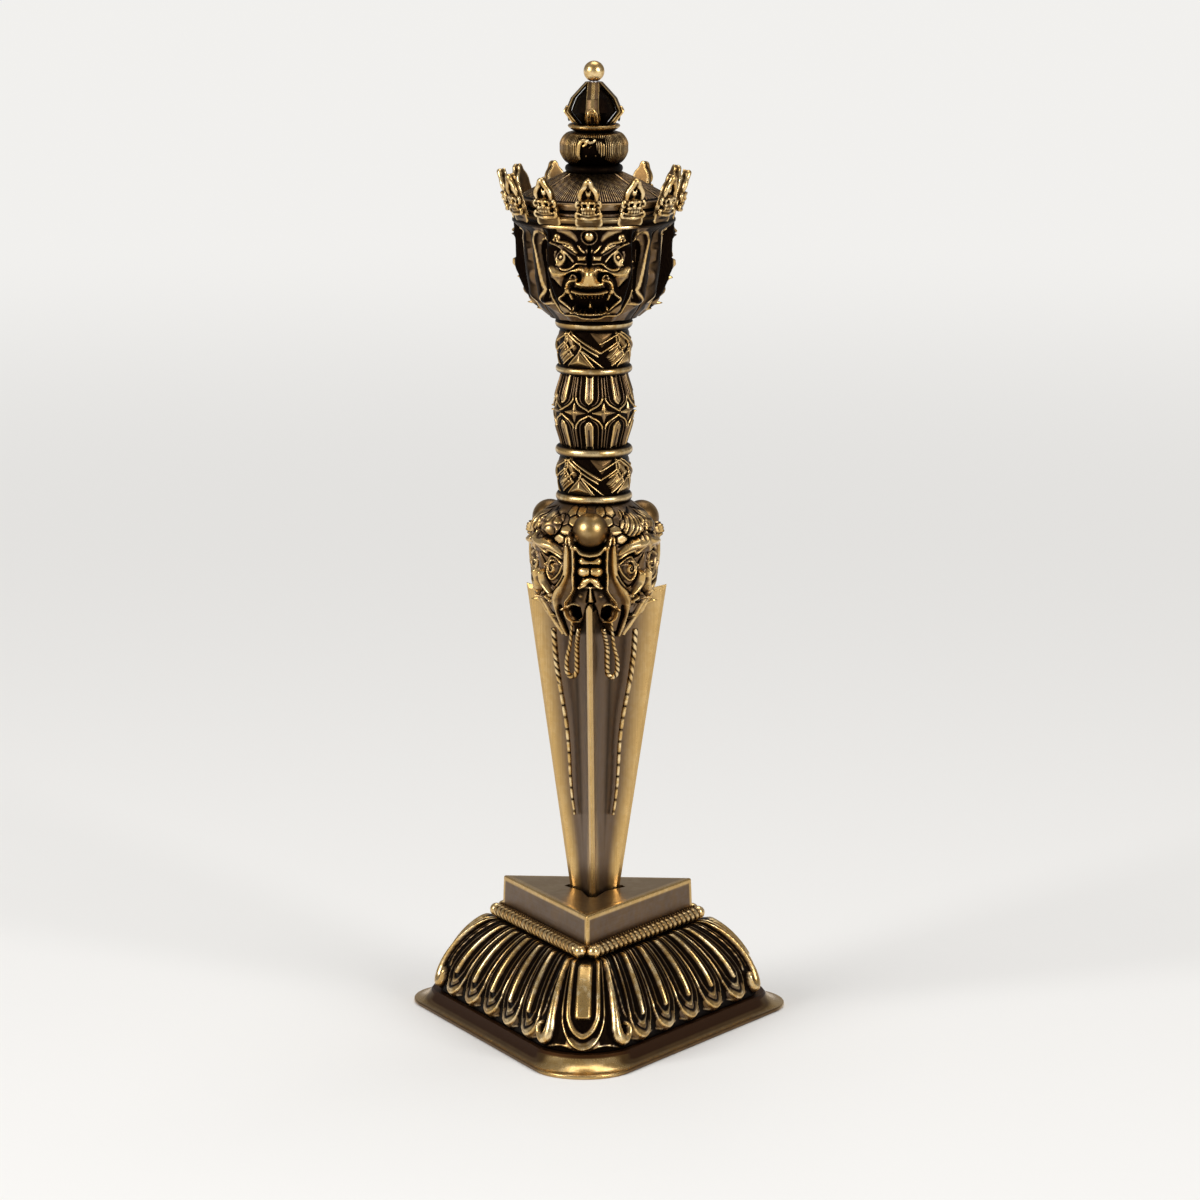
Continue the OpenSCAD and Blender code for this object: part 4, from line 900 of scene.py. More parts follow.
def half_section(z):
    """One side of a fin at the height z, from the middle of the hollow to the ground edge."""
    reach, flute = blade_reach(z), hollow_reach(z)
    q = min(1.0, reach / 4.8)
    start = np.array([flute * 0.5, -flute * sin(radians(60))])
    end = np.array([reach - EDGE_DEPTH * q, -EDGE_HALF * q])
    length = np.linalg.norm(end - start)
    lead_in = start + 0.26 * length * toward(radians(30))
    lead_out = end - 0.42 * length * np.array([0.995, -0.075])
    t = np.linspace(0, 1, 15)[:, None]
    arc = (1 - t) ** 3 * start + 3 * (1 - t) ** 2 * t * lead_in + 3 * (1 - t) * t * t * lead_out + t**3 * end
    crease = end + (np.array([reach, -0.13 * q]) - end) * 0.06
    return np.vstack([arc, crease, [reach - 0.08, -0.16 * q], [reach, -0.09 * q]])


def make_blade(looks):
    """Three hollow-ground fins, their outer corners raised to points at the shoulder."""
    point = np.linspace(BLADE_TIP, POINT_TOP, 14)
    heights = np.concatenate([point, np.linspace(POINT_TOP, CORNER_Z, 60)[1:]])
    rings = []
    for z in heights:
        half = half_section(z)
        fin = np.vstack([half, (half * [1, -1])[:0:-1]])
        ring = np.column_stack([fin, np.full(len(fin), z)])
        rings.append(np.vstack([turned(ring, heading(k)) for k in range(3)]))
    grid = np.array(rings)
    out, horn = np.hypot(grid[-1, :, 0], grid[-1, :, 1]), CORNER_Z - SHOULDER_Z
    grid[-1, :, 2] = np.minimum(SHOULDER_Z + np.maximum(out - (BLADE_R - horn), 0), CORNER_Z)
    grid[-2, :, 2] = np.minimum(grid[-2, :, 2], grid[-1, :, 2] - 0.2)
    # Painted shade down in the hollow between two fins, bright at the ground edge, lighter over the lower
    # blade and painted shade again where the blade enters the block
    points = len(half_section(CORNER_Z))
    across = np.concatenate([np.linspace(-0.75, 0.35, points - 3), [0.95, 1.0, 1.0]])
    up = grid[..., 2]
    relief = np.tile(np.concatenate([across, across[:0:-1]]), 3)
    relief = relief + 0.25 * smooth(-up, -60, -36) - 0.7 * smooth(-up, -34, -27)
    obj = new_mesh("three_edged_blade", *skin(grid, clamp(relief, -1, 1)), angle=12)
    finish = brass("Blade brass", looks, wear=0.32, darkness=-0.3, brushed=(1.0, 1.0, 0.03), lilac=0.7,
                   grain=0.6, cloudy=0.15)
    return settle(obj, "dagger", ["blade"], finish)


def finish_hidden_parts(looks):
    """The screws, the tip seat and the tie rod keep their solids and get their metals."""
    steel = Paint("Steel")
    lines = steel.noise(2.0, 2.0, (1.0, 1.0, 0.2))
    steel.feed(Base_Color=steel.mix(lines, (0.42, 0.42, 0.44, 1), (0.58, 0.58, 0.6, 1)), Metallic=1.0,
               Roughness=0.3 + 0.2 * lines, Normal=steel.bump(lines, 0.15, 0.03))
    inner_brass = brass("Socket brass", looks, wear=0.0)
    for node, material in (("stand_screws", steel.material), ("tie_rod", steel.material),
                           ("tip_seat", inner_brass)):
        mesh = NODES[node].data
        mesh.materials.clear()
        mesh.materials.append(material)


# The makara head over the blade

MAKARA_TOP = node_z("makara_head")[1]
MAKARA_H = MAKARA_TOP - CORNER_Z
MAKARA_R = 14.6
DEGREE = 0.25
SKIN_FOOT = -10.2


def makara_radius(v):
    """Radius of the head before its carving, with v from 0 at the fins' corners to 1 at the top."""
    return MAKARA_R * np.interp(v, [-0.5, -0.45, -0.2, 0, 0.2, 0.4, 0.6, 0.75, 0.88, 0.95, 1],
                                [0.46, 0.5, 0.73, 0.88, 0.96, 1, 1.01, 0.97, 0.83, 0.7, 0.6])


def makara_forms(c):
    """The head's broad forms: snout, lanes, brow, eye and the bulges of mane over them."""
    c.dome(0, 3.5, 3.4, 9.5, 0.5, "soft")
    c.dome(0, 17.0, 5.2, 5.0, -0.9, "soft")
    # The lane beside the snout, broad and smooth, runs down the jaw to the strands
    lane = curve([(5.4, 15.8), (5.5, 11.1), (6, 6.5), (8.2, 2.6), (10.1, -0.3), (11.1, -4.1), (12.2, -7.9),
                  (13.4, -12.2)])
    c.line(lane, [0.5, 1.1, 1.3, 1.7, 1.6, 1.2, 1.0, 0.7], [1.0, 1.4, 1.5, 1.6, 1.6, 1.4, 1.1, 0.8], "soft",
           tone=0.12)
    # Brow and the eye in its hollow
    c.dome(11.0, 8.6, 4.2, 3.9, -1.3, "soft")
    c.flow([(6.8, 11.4), (9.6, 13), (11.5, 13.4), (13.5, 13.7), (16, 15.4), (14.2, 19.4)],
           [0.7, 1.5, 1.9, 1.9, 1.6, 1.0], [1.0, 1.7, 2.1, 2.2, 1.9, 1.2], "soft", tone=0.3)
    c.dome(10.3, 7.6, 2.5, 2.6, 1.2, "soft")
    # The bulge of mane
    c.dome(12, 18.5, 4.4, 4.1, 1.9, "soft", tone=0.1)
    # Two cheek rolls
    c.flow([(13.7, 5.9), (13.5, 3.5), (12.2, 2), (10.8, 1)], [1.25, 1.4, 1.2, 0.8], 1.7, "soft", tone=0.2)
    c.flow([(16.2, 1.5), (14.5, 0.2), (13, -0.5), (11.3, -0.7)], [0.7, 0.8, 0.7, 0.6], 1.3, "soft", tone=0.15)


def makara_snout(c):
    # Black hollows between the rib and the lumps, grey skin round the nostrils
    c.plate([(0, 10.9), (2.3, 11.4), (3.6, 13.6), (3.5, 8.8), (3.9, 5.7), (3.7, 3.4), (0, 3.5)], -1.2, 0.7,
            tone=BLACK)
    c.plate([(3.7, 3.2), (5.3, 0.4), (6.4, -1.8), (6.2, -4.6), (5.7, -7.1), (0, -6.8), (0, 3.3)], -0.6, 0.5,
            tone=-0.3)
    # The cup under the ball and the rib that rises to its tips
    c.flow([(3.6, 14.6), (2.7, 13.5), (1.5, 12.9), (0, 12.7)], [0.15, 0.45, 0.75, 0.8], -1.2, **GAP)
    c.flow([(4.8, 16.6), (4, 13.8), (2.3, 11.8), (0, 11.2)], [0.25, 0.5, 0.55, 0.55], 0.9, "round", tone=0.6)
    rib = curve([(4.7, 16.5), (4, 12.9), (3.8, 8.8), (4.1, 5.7), (4.1, 2.8), (5.4, 0.8), (6.7, -0.7),
                 (7.2, -2.7)])
    c.line(rib, [0.25, 0.26, 0.28, 0.28, 0.3, 0.34, 0.34, 0.3], [1.6, 1.6, 1.6, 1.6, 1.7, 1.7, 1.6, 1.5],
           tone=0.55)
    # Lumps down the bridge: an hourglass, a pair of beads, a pair of lips and a bead
    c.line([(0, 9.6), (1, 9.6), (1.9, 9.8)], [0.5, 0.75, 1.15], 1.9, tone=0.55)
    c.line([(0.6, 7.3), (1.8, 7.2)], [1.25, 1.6], 2.2, tone=0.45)
    c.line([(0.1, 5.4), (1.4, 4.7), (2.6, 3.4)], [0.8, 1.1, 0.6], 1.8, tone=0.45)
    c.line([(0, 6.5), (1.3, 6), (2.5, 6.1)], [0.2, 0.24, 0.15], -0.8, **GAP)
    c.line([(0, 8.7), (1.3, 8.5), (2.7, 8.5)], [0.16, 0.2, 0.15], -0.8, **GAP)
    # The wedge where the blade's ridge ends between the nostrils
    c.line([(0, 3.1), (0, -0.4)], [0.25, 0.95], 1.2, "sharp", tone=0.75)
    c.line([(0.3, 2.9), (1.1, -0.4)], [0.15, 0.4], -0.9, **GAP)
    c.line([(0, 9), (0, 6.4)], 0.2, -1.0, **GAP)
    c.dome(2.8, 0.9, 0.75, 0.45, 0.5, "soft", 20, tone=0.15)
    # Nostrils: a square hole with a lip that runs into the whiskers
    c.plate([(6.7, -2.4), (5.1, -1.4), (3.3, -2.1), (3.2, -4.6), (5.2, -5.6), (6.8, -4.5)], -2.4, 0.3,
            tone=BLACK)
    c.flow([(7, -2.1), (7.7, -3.4), (7.5, -5), (6.1, -5.9), (4.2, -5.9)], [0.3, 0.42, 0.42, 0.36, 0.2],
           [1.5, 1.6, 1.6, 1.3, 0.8], tone=0.6)
    c.flow([(6.9, -2.2), (5.3, -1.2), (3.5, -1.7)], [0.3, 0.26, 0.15], [1.2, 0.9, 0.5], tone=0.3)


def makara_eye(c):
    # Brow: dark lines over and under it, and rubbed edges
    c.flow([(6.8, 13.1), (8.7, 14.1), (10.3, 14.9), (11.9, 15.1), (13.5, 15.8), (15.6, 17.2), (14.2, 20.7)],
           [0.2, 0.28, 0.3, 0.3, 0.3, 0.28, 0.2], -1.0, **GAP)
    top = curve([(6.9, 12.1), (8.6, 13.2), (10.2, 14.1), (11.8, 14.3), (13.5, 15.1), (15.1, 16.8)])
    c.line(top, 0.3, 0.25, "soft", tone=0.3)
    c.flow([(6.9, 10.3), (9.3, 11.4), (11, 11.7), (12.1, 11), (13.6, 12.1), (15.4, 13.8), (14.2, 17.5)],
           [0.2, 0.3, 0.34, 0.34, 0.34, 0.34, 0.2], 0.6, tone=0.55)
    c.flow([(7.1, 9.6), (9.5, 10.7), (11, 11), (12.3, 10.1), (13.8, 10.9)], [0.2, 0.3, 0.34, 0.34, 0.2],
           -1.1, **GAP)
    # The lids, the curled pupil and the double line round the socket
    c.plate([(7.2, 8.8), (9, 10.1), (10.7, 10.2), (11.9, 8.1), (11.4, 5.6), (10, 4.9), (8.4, 6.4)], -0.4,
            0.4, tone=-0.1)
    c.flow([(6.8, 8.9), (8.6, 10), (10.3, 10.3), (11.5, 9.4), (12.7, 7.9)], [0.24, 0.28, 0.3, 0.28, 0.2],
           0.8, tone=0.3)
    c.dome(10.4, 7.5, 1.9, 2.3, 0.5, "soft", tone=0.0)
    x, y = 10.4, 7.6
    c.line(spiral(x, y, 1.7, 0.35, 100, -400, 30), [0.26, 0.34, 0.3], 0.5, tone=0.6)
    c.line(spiral(x, y, 1.25, 0.15, 100, -400, 30), 0.26, -0.5, **GAP)
    c.line([(7.9, 8.4), (9.6, 8.6)], 0.16, 0.4, tone=0.3)
    c.flow([(6.8, 8.4), (7.9, 6.4), (9.8, 4.8), (11, 5.1), (12, 6.6), (12.6, 8.5)],
           [0.24, 0.3, 0.3, 0.3, 0.26, 0.2], 0.8, tone=0.25)
    c.flow([(6.4, 7.3), (7.7, 5), (9.8, 3.3), (11.2, 3.6), (12.4, 5.7), (13.5, 8.8), (14.5, 10.7)], 0.26,
           -1.2, **GAP)
    c.flow([(6.1, 6.1), (7.6, 3.8), (9.9, 2.1), (10.6, 1.5)], [0.24, 0.3, 0.26, 0.2], -0.9, "soft", tone=-0.7)
    # Gaps between the cheek rolls
    c.flow([(14.4, 4.4), (14.2, 2), (12.8, 0.5), (11.2, -0.1)], 0.32, -1.3, **GAP)
    c.flow([(14.2, 1.6), (14.2, -1.5), (11.9, -1.8)], 0.3, -1.0, **GAP)
    c.flow([(12.8, 6.4), (12.3, 4.4), (11.3, 2.9)], 0.22, -0.7, **GAP)
    # Edges of the jaw
    c.flow([(10.9, 0.6), (11.6, -1.8), (12.2, -4.9), (12.7, -7.6), (13.3, -9.7), (13.5, -12)],
           [0.26, 0.26, 0.28, 0.3, 0.28, 0.26], 0.7, tone=0.5)
    c.flow([(9.5, -1.8), (10.4, -3.9), (11, -6.4), (12, -9.8)], [0.3, 0.5, 0.5, 0.4], -1.2, **GAP)


def scale(c, points):
    c.plate(points, 0.3, 0.3, tone=0.32)
    c.line(points + points[:1], 0.17, -0.25, **GAP)


def makara_mane(c, ball):
    """Broad scales round the ball, and bulges between the heads: beaded to one side, combed to the other."""
    wide, high = 3.1, 2.1
    outline = ((-0.5, 0.3), (0.0, 0.6), (0.5, 0.3), (0.5, -0.4), (0.0, -0.7), (-0.5, -0.4))
    for row, reach in enumerate((6.5, 7.0, 7.0, 8.0)):
        y = MAKARA_H - 1.0 - high * row
        for i in range(5):
            x = wide * (i + 0.5 * (row % 2))
            if hypot(x, y - ball) < 4.4 or x > reach:
                continue
            scale(c, [(x + wide * px, y + high * py) for px, py in outline])
    # The dark line round the bulge and the beads inside it
    rim = curve([(14.4, 21.4), (9.9, 19.9), (8.2, 17.8), (9, 15.8), (10.7, 14.9), (12.8, 15.3)])
    c.line(rim + [-0.25, 0], 0.26, -0.9, **GAP)
    for x, y in rim[6:-2:4]:
        c.dome(x + 0.5, y, 0.32, 0.32, 0.2, tone=0.4)
    both = c.x
    c.x = c.real_x
    for i in range(7):
        t = i / 6
        a = np.array([mixed(9.4, 15.0, t), mixed(21.2, 19.4, t)])
        b = np.array([mixed(7.6, 14.0, t), mixed(16.4, 13.8, t)])
        c.line(curve([a, (a + b) / 2 + [0.25, 0.1], b], 6), [0.16, 0.34, 0.26], [0.15, 0.3, 0.25], tone=0.42)
        c.line(curve([a + [0.5, 0], (a + b) / 2 + [0.75, 0.1], b + [0.5, 0]], 6), 0.16, -0.25, "soft",
               tone=-0.8)
    for x, y, r in ((9.0, 19.2, 1.1), (12.2, 19.9, 1.2), (14.6, 17.9, 1.0), (10.6, 16.6, 1.2),
                    (13.2, 15.6, 0.95)):
        c.ring(-x, y, r + 0.15, 0.2, -0.2, "soft", tone=-0.6)
        c.dome(-x, y, r, r, 0.12, tone=0.15)
    c.x = both


def makara_outline(c):
    """1 where the head has skin; below it the blade shows."""
    edge = curve([(0, -0.4), (0.6, -0.7), (1.8, -2.8), (3.3, -5.5), (4.3, -6.4), (6.2, -6.3), (7.7, -8.9)], 3)
    jaw = curve([(11.5, -8.9), (12.9, -12.1), (14.5, -12.4), (14.3, -9.5), (12.4, -5.1)], 3)
    leaves = [(13.4, -5.6), (12.8, -3.2), (14.2, -4.4), (15.9, -4.1), (14.2, -1.6), (14.2, -0.1)]
    points = np.vstack([[(0, 23), (0, 3)], edge, jaw, leaves, [(15.2, 1.0), (15.2, 23)]])
    mask = Chart(c.real_x[0, 0], c.real_x[0, -1], c.y[0, 0], c.y[-1, 0], c.step, mirrored=True)
    mask.plate(points, 1.0, 0.05)
    return mask.h


def three_sided(name, c, degree, foot, reach, relief):
    """A closed skin from one face's chart, so many millimetres wide to the degree, set round three times."""
    angle = np.concatenate([np.radians(-90 + SECTOR * k + c.real_x[0, :-1] / degree) for k in range(3)])
    grid = round_grid(np.tile(reach[:, :-1], 3), angle, foot + c.y[:, :1])
    return new_mesh(name, *skin(grid, np.tile(relief[:, :-1], 3)))


def make_makara_head(looks):
    """Three makara faces over the blade's shoulders, their manes meeting between them."""
    half, inmost = 60 * DEGREE, 4.2
    c = Chart(-half, half, SKIN_FOOT, MAKARA_H, 0.18, mirrored=True)
    makara_forms(c)
    makara_snout(c)
    makara_eye(c)
    makara_mane(c, sum(node_z("forehead_jewels")) / 2 - CORNER_Z)
    skin_here = makara_outline(c)
    # Nothing stands out far where two heads meet
    c.h = np.minimum(c.h, mixed(9.0, 2.3, smooth(c.x, 11.5, 14.0)))
    c.soften(0.55)
    v = c.y / MAKARA_H
    c.h *= 1 - smooth(v, 0.93, 1.0)
    rim = clamp(blurred(skin_here, 2.2) * 2.2 - 1.1)
    reach = np.where(skin_here > 0.5, makara_radius(v) + c.h, inmost)
    obj = three_sided("makara_faces", c, DEGREE, CORNER_Z, reach, c.relief(0.5) - 0.5 * (1 - rim))
    finish = brass("Makara brass", looks, wear=0.06, lilac=0.4, cloudy=0.5)
    return settle(obj, "dagger", ["makara_head"], finish)


def make_forehead_jewels(looks):
    """Polished balls sunk in the makaras' foreheads."""
    low, high = node_box("forehead_jewels")
    r, z = (high[2] - low[2]) / 2, (high[2] + low[2]) / 2
    reach = -low[1] - r
    parts = []
    for k in range(3):
        centre = np.array([*reach * toward(heading(k)), z])
        verts, faces, _ = ball_at(centre, r - 0.01, 0.0, 56, 36)
        # Lighter in front and on top as a painted highlight, darker in the cup and against the mane as
        # painted shade
        front = (verts - centre) @ [*0.8 * toward(heading(k)), 0.6] / r
        parts.append((verts, faces, np.interp(front, [-0.2, 0.3, 0.75, 1], [-0.7, -0.1, 0.4, 0.62])))
    obj = new_mesh("forehead_balls", *joined(parts))
    finish = brass("Ball brass", looks, wear=0.0, polish=-0.02, grain=0.3, cloudy=0.5)
    return settle(obj, "dagger", ["forehead_jewels"], finish)


# The whiskers and strands

def twisted(path, r, turn, sides=18):
    """A wire of two strands twisted together, r being its radii from end to end."""
    s, groove = run_along(path), 0.2

    def strands(along, angle):
        """1 on each of the two strands and 0 between them."""
        return np.abs(np.cos(angle + pi * along / turn)) ** 0.7

    def radius(along, angle):
        share = 1 - groove + groove * strands(along, angle)
        return np.interp(along, np.linspace(0, s[-1], len(r)), r) * share

    return skin(sweep(path, radius, sides), strands(s[:, None], round_angles(sides)) * 1.7 - 0.75)


def resampled(points, spacing):
    """The same line with its points evenly spaced."""
    p = np.asarray(points, float)
    s = run_along(p)
    q = np.linspace(0, s[-1], max(2, int(s[-1] / spacing)))
    return np.stack([np.interp(q, s, p[:, k]) for k in range(3)], -1)


def fin_halves(s, z):
    """Half thickness of a fin at each of several places."""
    return np.array([fin_half(a, b) for a, b in zip(s, z)])


def make_whisker_loops(finish, turn):
    """The two loops that hang in front, from the nostrils down the front fin's flanks."""
    low, high = node_box("whisker_loops")
    foot, top = low[2], high[2]
    start = top - 2.6
    span = start - foot
    points = curve([(2.9, start), (3.3, start - 0.2 * span), (3.6, start - 0.4 * span),
                    (3.6, start - 0.7 * span), (3.75, foot + 1.6), (4.8, foot + 0.65), (5.85, foot + 1.6),
                    (6.1, foot + 0.28 * span), (5.9, foot + 0.45 * span), (5.2, foot + 0.68 * span),
                    (4.8, start), (4.8, top - 0.5)], 8)
    across, z = points.T
    # Where a leg hangs near the middle it lies further out along the fin, on its flank
    s = BLADE_R * (0.438 - 0.061 * (top - z) / 14)
    s = s + clamp((fin_halves(s, z) + 0.75 - across) * 3.9, 0, 3.6)
    x = np.maximum(across, fin_halves(s, z) + 0.7)
    parts = [twisted(resampled(np.column_stack([side * x, -s, z]), 0.16),
                     [0.5, 0.64, 0.68, 0.68, 0.66, 0.52, 0.46, 0.42, 0.34], turn * 0.3) for side in (-1, 1)]
    settle(new_mesh("whisker_twists", *joined(parts)), "dagger", ["whisker_loops"], finish)


def make_side_strands(finish, turn):
    """The four strands down the side fins, twisted at first and then a string of long knots."""
    low, high = node_box("side_strands")
    top, length = high[2] - 0.3, high[2] - low[2] - 0.3
    spacing, knot, around = 0.2, 2.9, 16
    t = np.linspace(0, 1, 150)
    z = top - length * t
    s = BLADE_R * mixed(0.478, 0.183, t) + 0.5 * np.sin(np.radians(500 * t))
    lift = fin_halves(s, z) + 0.75 * mixed(1, 0.5, t) * mixed(1.08, 0.62, t)

    def knots(along):
        """0 between two knots and 1 on a knot."""
        return np.abs(np.sin(pi * along / knot)) ** 0.35

    parts = []
    for k in (1, 2):
        for side in (-1, 1):
            path = resampled(turned(np.column_stack([s, side * lift, z]), heading(k)), spacing)
            rest = path[66:]

            def knotted(along, angle):
                taper = mixed(0.62, 0.36, along / (spacing * len(rest)))
                return taper * (0.72 + 0.28 * knots(along)) + 0 * angle

            relief = knots(spacing * np.arange(len(rest)))[:, None] * 1.6 - 0.7
            parts += [twisted(path[:70], [0.75, 0.72, 0.66], turn * 0.45),
                      skin(sweep(rest, knotted, around), relief)]
    settle(new_mesh("fin_strands", *joined(parts)), "dagger", ["side_strands"], finish)


def make_whiskers(looks, sizes):
    """Hanging whisker loops in front and knotted strands along the side fins."""
    finish = brass("Whisker brass", looks, wear=0.05, darkness=0.2)
    make_whisker_loops(finish, sizes.twist / MM)
    make_side_strands(finish, sizes.twist / MM)


# The grip

def turned_piece(name, profile, tone, node, finish, steps=160):
    """A lathe-turned ring from its profile of (radius, height) points, with a tone for each point."""
    p = np.array(profile, float)
    grid = round_grid(p[:, :1], round_angles(steps), p[:, 1:])
    obj = new_mesh(name, *skin(grid, tone[:, None], hollow=True), angle=40)
    return settle(obj, "dagger", [node], finish)


def make_rings(looks):
    """The plain turned rings: painted shade darkens their foot and top and a painted highlight brightens
    their middle, and the topknot ring is dark all over.
    """
    finish = brass("Ring brass", looks, wear=0.16, darkness=0.1, grain=0.5)
    bore = 2.05
    # Each ring and where the painted shade at its top begins, in shares of its height
    for node, shaded_above in (("base_ring", 0.95), ("lower_grip_ring", 0.95), ("upper_grip_ring", 0.95),
                             ("topknot_ring", None), ("neck_ring", 0.62)):
        foot, top, r = node_round(node)
        half, middle = (top - foot) / 2, (top + foot) / 2
        a = np.linspace(-pi / 2, pi / 2, 25)
        arc = np.column_stack([r - half * 0.95 * (1 - np.cos(a)), middle + half * 0.99 * np.sin(a)])
        profile = np.array([(bore, foot), (r - half, foot), *arc, (r - half, top), (bore, top)])
        tone = np.full(len(profile), -0.55)
        if shaded_above:
            # Painted shade at the foot and the top, painted highlight round the middle
            shares = [0, 0.12, 0.32, 0.6, shaded_above * 0.88, shaded_above, 1]
            up = (profile[:, 1] - foot) / (top - foot)
            tone = np.interp(up, shares, [-1, -0.7, 0.2, 0.5, 0.3, -0.8, -1])
        turned_piece(f"turned_{node}", profile, tone, node, finish)


def wrapped_piece(name, node, c, copies, radius, finish, start, highest=9.0):
    """A closed skin round the grip from one unit's chart, over the radius of each row."""
    foot, top = node_z(node)
    h, relief = (np.tile(v[:, :-1], copies) for v in (np.minimum(c.h, highest), clamp(c.relief(), -1, 1)))
    angle = np.radians(-90 + start) + round_angles(h.shape[1])
    grid = round_grid(radius[:, None] + h, angle, mixed(foot, top, c.y[:, :1] / c.y.max()))
    settle(new_mesh(name, *skin(grid, relief)), "dagger", [node], finish)


def band_unit(c, width, high, shift):
    """One unit of the weave: a strap over, a strap under, a hatched block and two facets."""
    unit, drawn_high = 14.3, 8.7

    def at(points):
        return [(x * width / unit + shift, y * high / drawn_high) for x, y in points]

    # Facets: one hangs from the top, one stands on the foot, a leaf beside the block
    c.plate(at([(5.3, 8.6), (12.4, 8.5), (8.8, 4.7)]), 0.5, 1.6, tone=-0.1)
    c.plate(at([(-0.8, 0.3), (6.2, 0.1), (2.9, 3.7)]), 0.75, 1.3, tone=0.3)
    c.plate(at([(13.2, 8.3), (15.9, 7.0), (16.7, 4.6), (15.6, 3.7), (13.5, 6.2)]), 0.6, 0.7, tone=0.2)
    c.plate(at([(0.3, 8.3), (1.3, 8.3), (9.2, 3.4), (8.3, 3.0)]), 0.4, 0.3, tone=0.0)
    # The block with its hatching
    block = at([(12.9, 6.0), (15.5, 3.0), (11.7, 0.5), (9.8, 2.7)])
    c.plate(block, 0.7, 0.8, tone=0.25)
    top_edge, low_edge = np.array([block[3], block[0]]), np.array([block[2], block[1]])
    for q in (0.3, 0.5, 0.7):
        c.line(mixed(top_edge, low_edge, q), 0.13, -0.2, "soft", tone=-0.6)
    c.plate(at([(0.6, 8.3), (8.6, 3.7), (7.8, 2.9), (0.0, 8.1)]), 0.35, 0.3, tone=-0.15)
    for points in ([(0.5, 8.45), (4.8, 5.95), (8.6, 3.75)], [(0.0, 8.5), (-6.0, 5.8)],
                   [(-0.2, 8.2), (3.2, 5.6), (7.8, 2.8)], [(1.6, 5.4), (-1.8, 3.0)],
                   [(3.3, 4.3), (5.2, 1.9), (6.8, 0.0)], [(3.9, 4.1), (6.9, 1.7), (9.2, 0.0)],
                   [(2.9, 3.7), (3.5, 5.0)], [(13.2, 8.4), (17.4, 6.0)],
                   [(8.8, 3.9), (12.9, 6.1), (12.8, 8.4)]):
        c.line(at(points), 0.27, 0.55, tone=0.6)
    c.line(at([(12.9, 6.1), (15.5, 3.0), (11.7, 0.5)]), 0.24, 0.5, tone=0.7)
    c.line(at([(-0.8, 0.3), (2.9, 3.7), (6.2, 0.1)]), 0.18, 0.3, tone=0.6)
    c.line(at([(-0.8, 7.6), (-0.6, 6.4), (-1.2, 5.6), (-3.6, 4.2)]), 0.24, 0.5, tone=0.65)


def make_woven_bands(looks, sizes):
    """Two bands of flat straps crossing over and under, with bevelled blocks between them."""
    finish = brass("Band brass", looks, wear=0.04, darkness=0.12, lilac=0.1, cloudy=0.4)
    width = 2 * pi * 8.8 / sizes.band_units
    for node in ("lower_weave_band", "upper_weave_band"):
        foot, top = node_z(node)
        high = top - foot
        c = Chart(0, width, 0, high, width / 130, ground=-0.35)
        c.tone -= 0.9
        for shift in (-width, 0, width):
            band_unit(c, width, high, shift)
        c.soften(0.6)
        c.fade(0.35, 0.35)
        radius = 8.35 + 0.45 * np.sin(pi * c.y[:, 0] / high)
        wrapped_piece(f"woven_{node}", node, c, sizes.band_units, radius, finish, -39.0, 0.5)


def make_lotus_grip(looks, sizes):
    """Two rows of lotus petals with their tips meeting, and four-pointed stars between them."""
    foot, top = node_z("lotus_grip")
    high = top - foot
    width = 2 * pi * 9.4 / sizes.grip_petals
    c = Chart(0, width, 0, high, width / 70, ground=-0.3)
    c.tone -= 0.9
    m, w = high / 2, width / 2
    # A petal in shares of its half width: its ogee, the arch inside it and the bar down its middle
    ogee = [(0.0, 0.5), (0.2, 1.0), (0.58, 1.8), (0.82, 2.8), (0.9, 3.9), (0.9, m)]
    arch = [(0.2, 1.7), (0.5, 2.5), (0.64, 4.0), (0.66, m)]
    bar = [(0.0, 2.1), (0.14, 2.6), (0.25, 3.3), (0.26, m)]
    for x in (0, width):
        for up in (-1, 1):

            def both(points, x=x, up=up):
                """The left and the right half of a petal's line."""
                return [[(x + side * w * px, m + up * py) for px, py in points] for side in (-1, 1)]

            for outline in both(ogee):
                c.line(curve(outline, 5), [0.3, 0.28, 0.26, 0.26, 0.24, 0.2], 0.5, tone=0.55)
                c.line(outline[-2:], 0.22, 0.4, tone=-0.25)
            for outline in both(arch):
                c.line(curve(outline, 5), [0.12, 0.2, 0.18, 0.16], 0.35, tone=-0.2)
            left, right = both(bar)
            c.plate(left + right[::-1], 0.6, 0.5, tone=0.1)
            for outline in (left, right):
                c.line(outline, [0.16, 0.24, 0.26, 0.24], 0.3, tone=0.75)
            # The bar's middle darkens towards its foot
            c.line([(x, m + up * 4.2), (x, m + up * m)], [0.25, 0.7], -0.2, "soft", tone=-0.4)
    # Four-pointed stars with hollow sides: a pyramid on which each ray rises to the middle
    for i in range(4):
        a = radians(90 * i)
        reach = 2.3 if i % 2 else 2.8
        tip = (w + reach * cos(a), m + reach * sin(a))
        # Painted highlight on the upper and the left ray; the right and the lower ray stay darker
        rubbed = 0.55 if i in (1, 2) else 0.1
        c.line([(w, m), tip], [0.95, 0.14], [0.5, 0.2], "sharp", ground=-0.25, tone=rubbed)
    c.soften(0.6)
    c.fade(0.4, 0.4)
    radius = mixed(7.75, 9.65, clamp(np.sin(pi * c.y[:, 0] / high)) ** 1.3)
    finish = brass("Grip brass", looks, wear=0.06, darkness=0.1, lilac=0.4, cloudy=0.4)
    wrapped_piece("double_lotus_grip", "lotus_grip", c, sizes.grip_petals, radius, finish, -4.0)


# The head with its three faces

FACE_DEGREE = 0.3


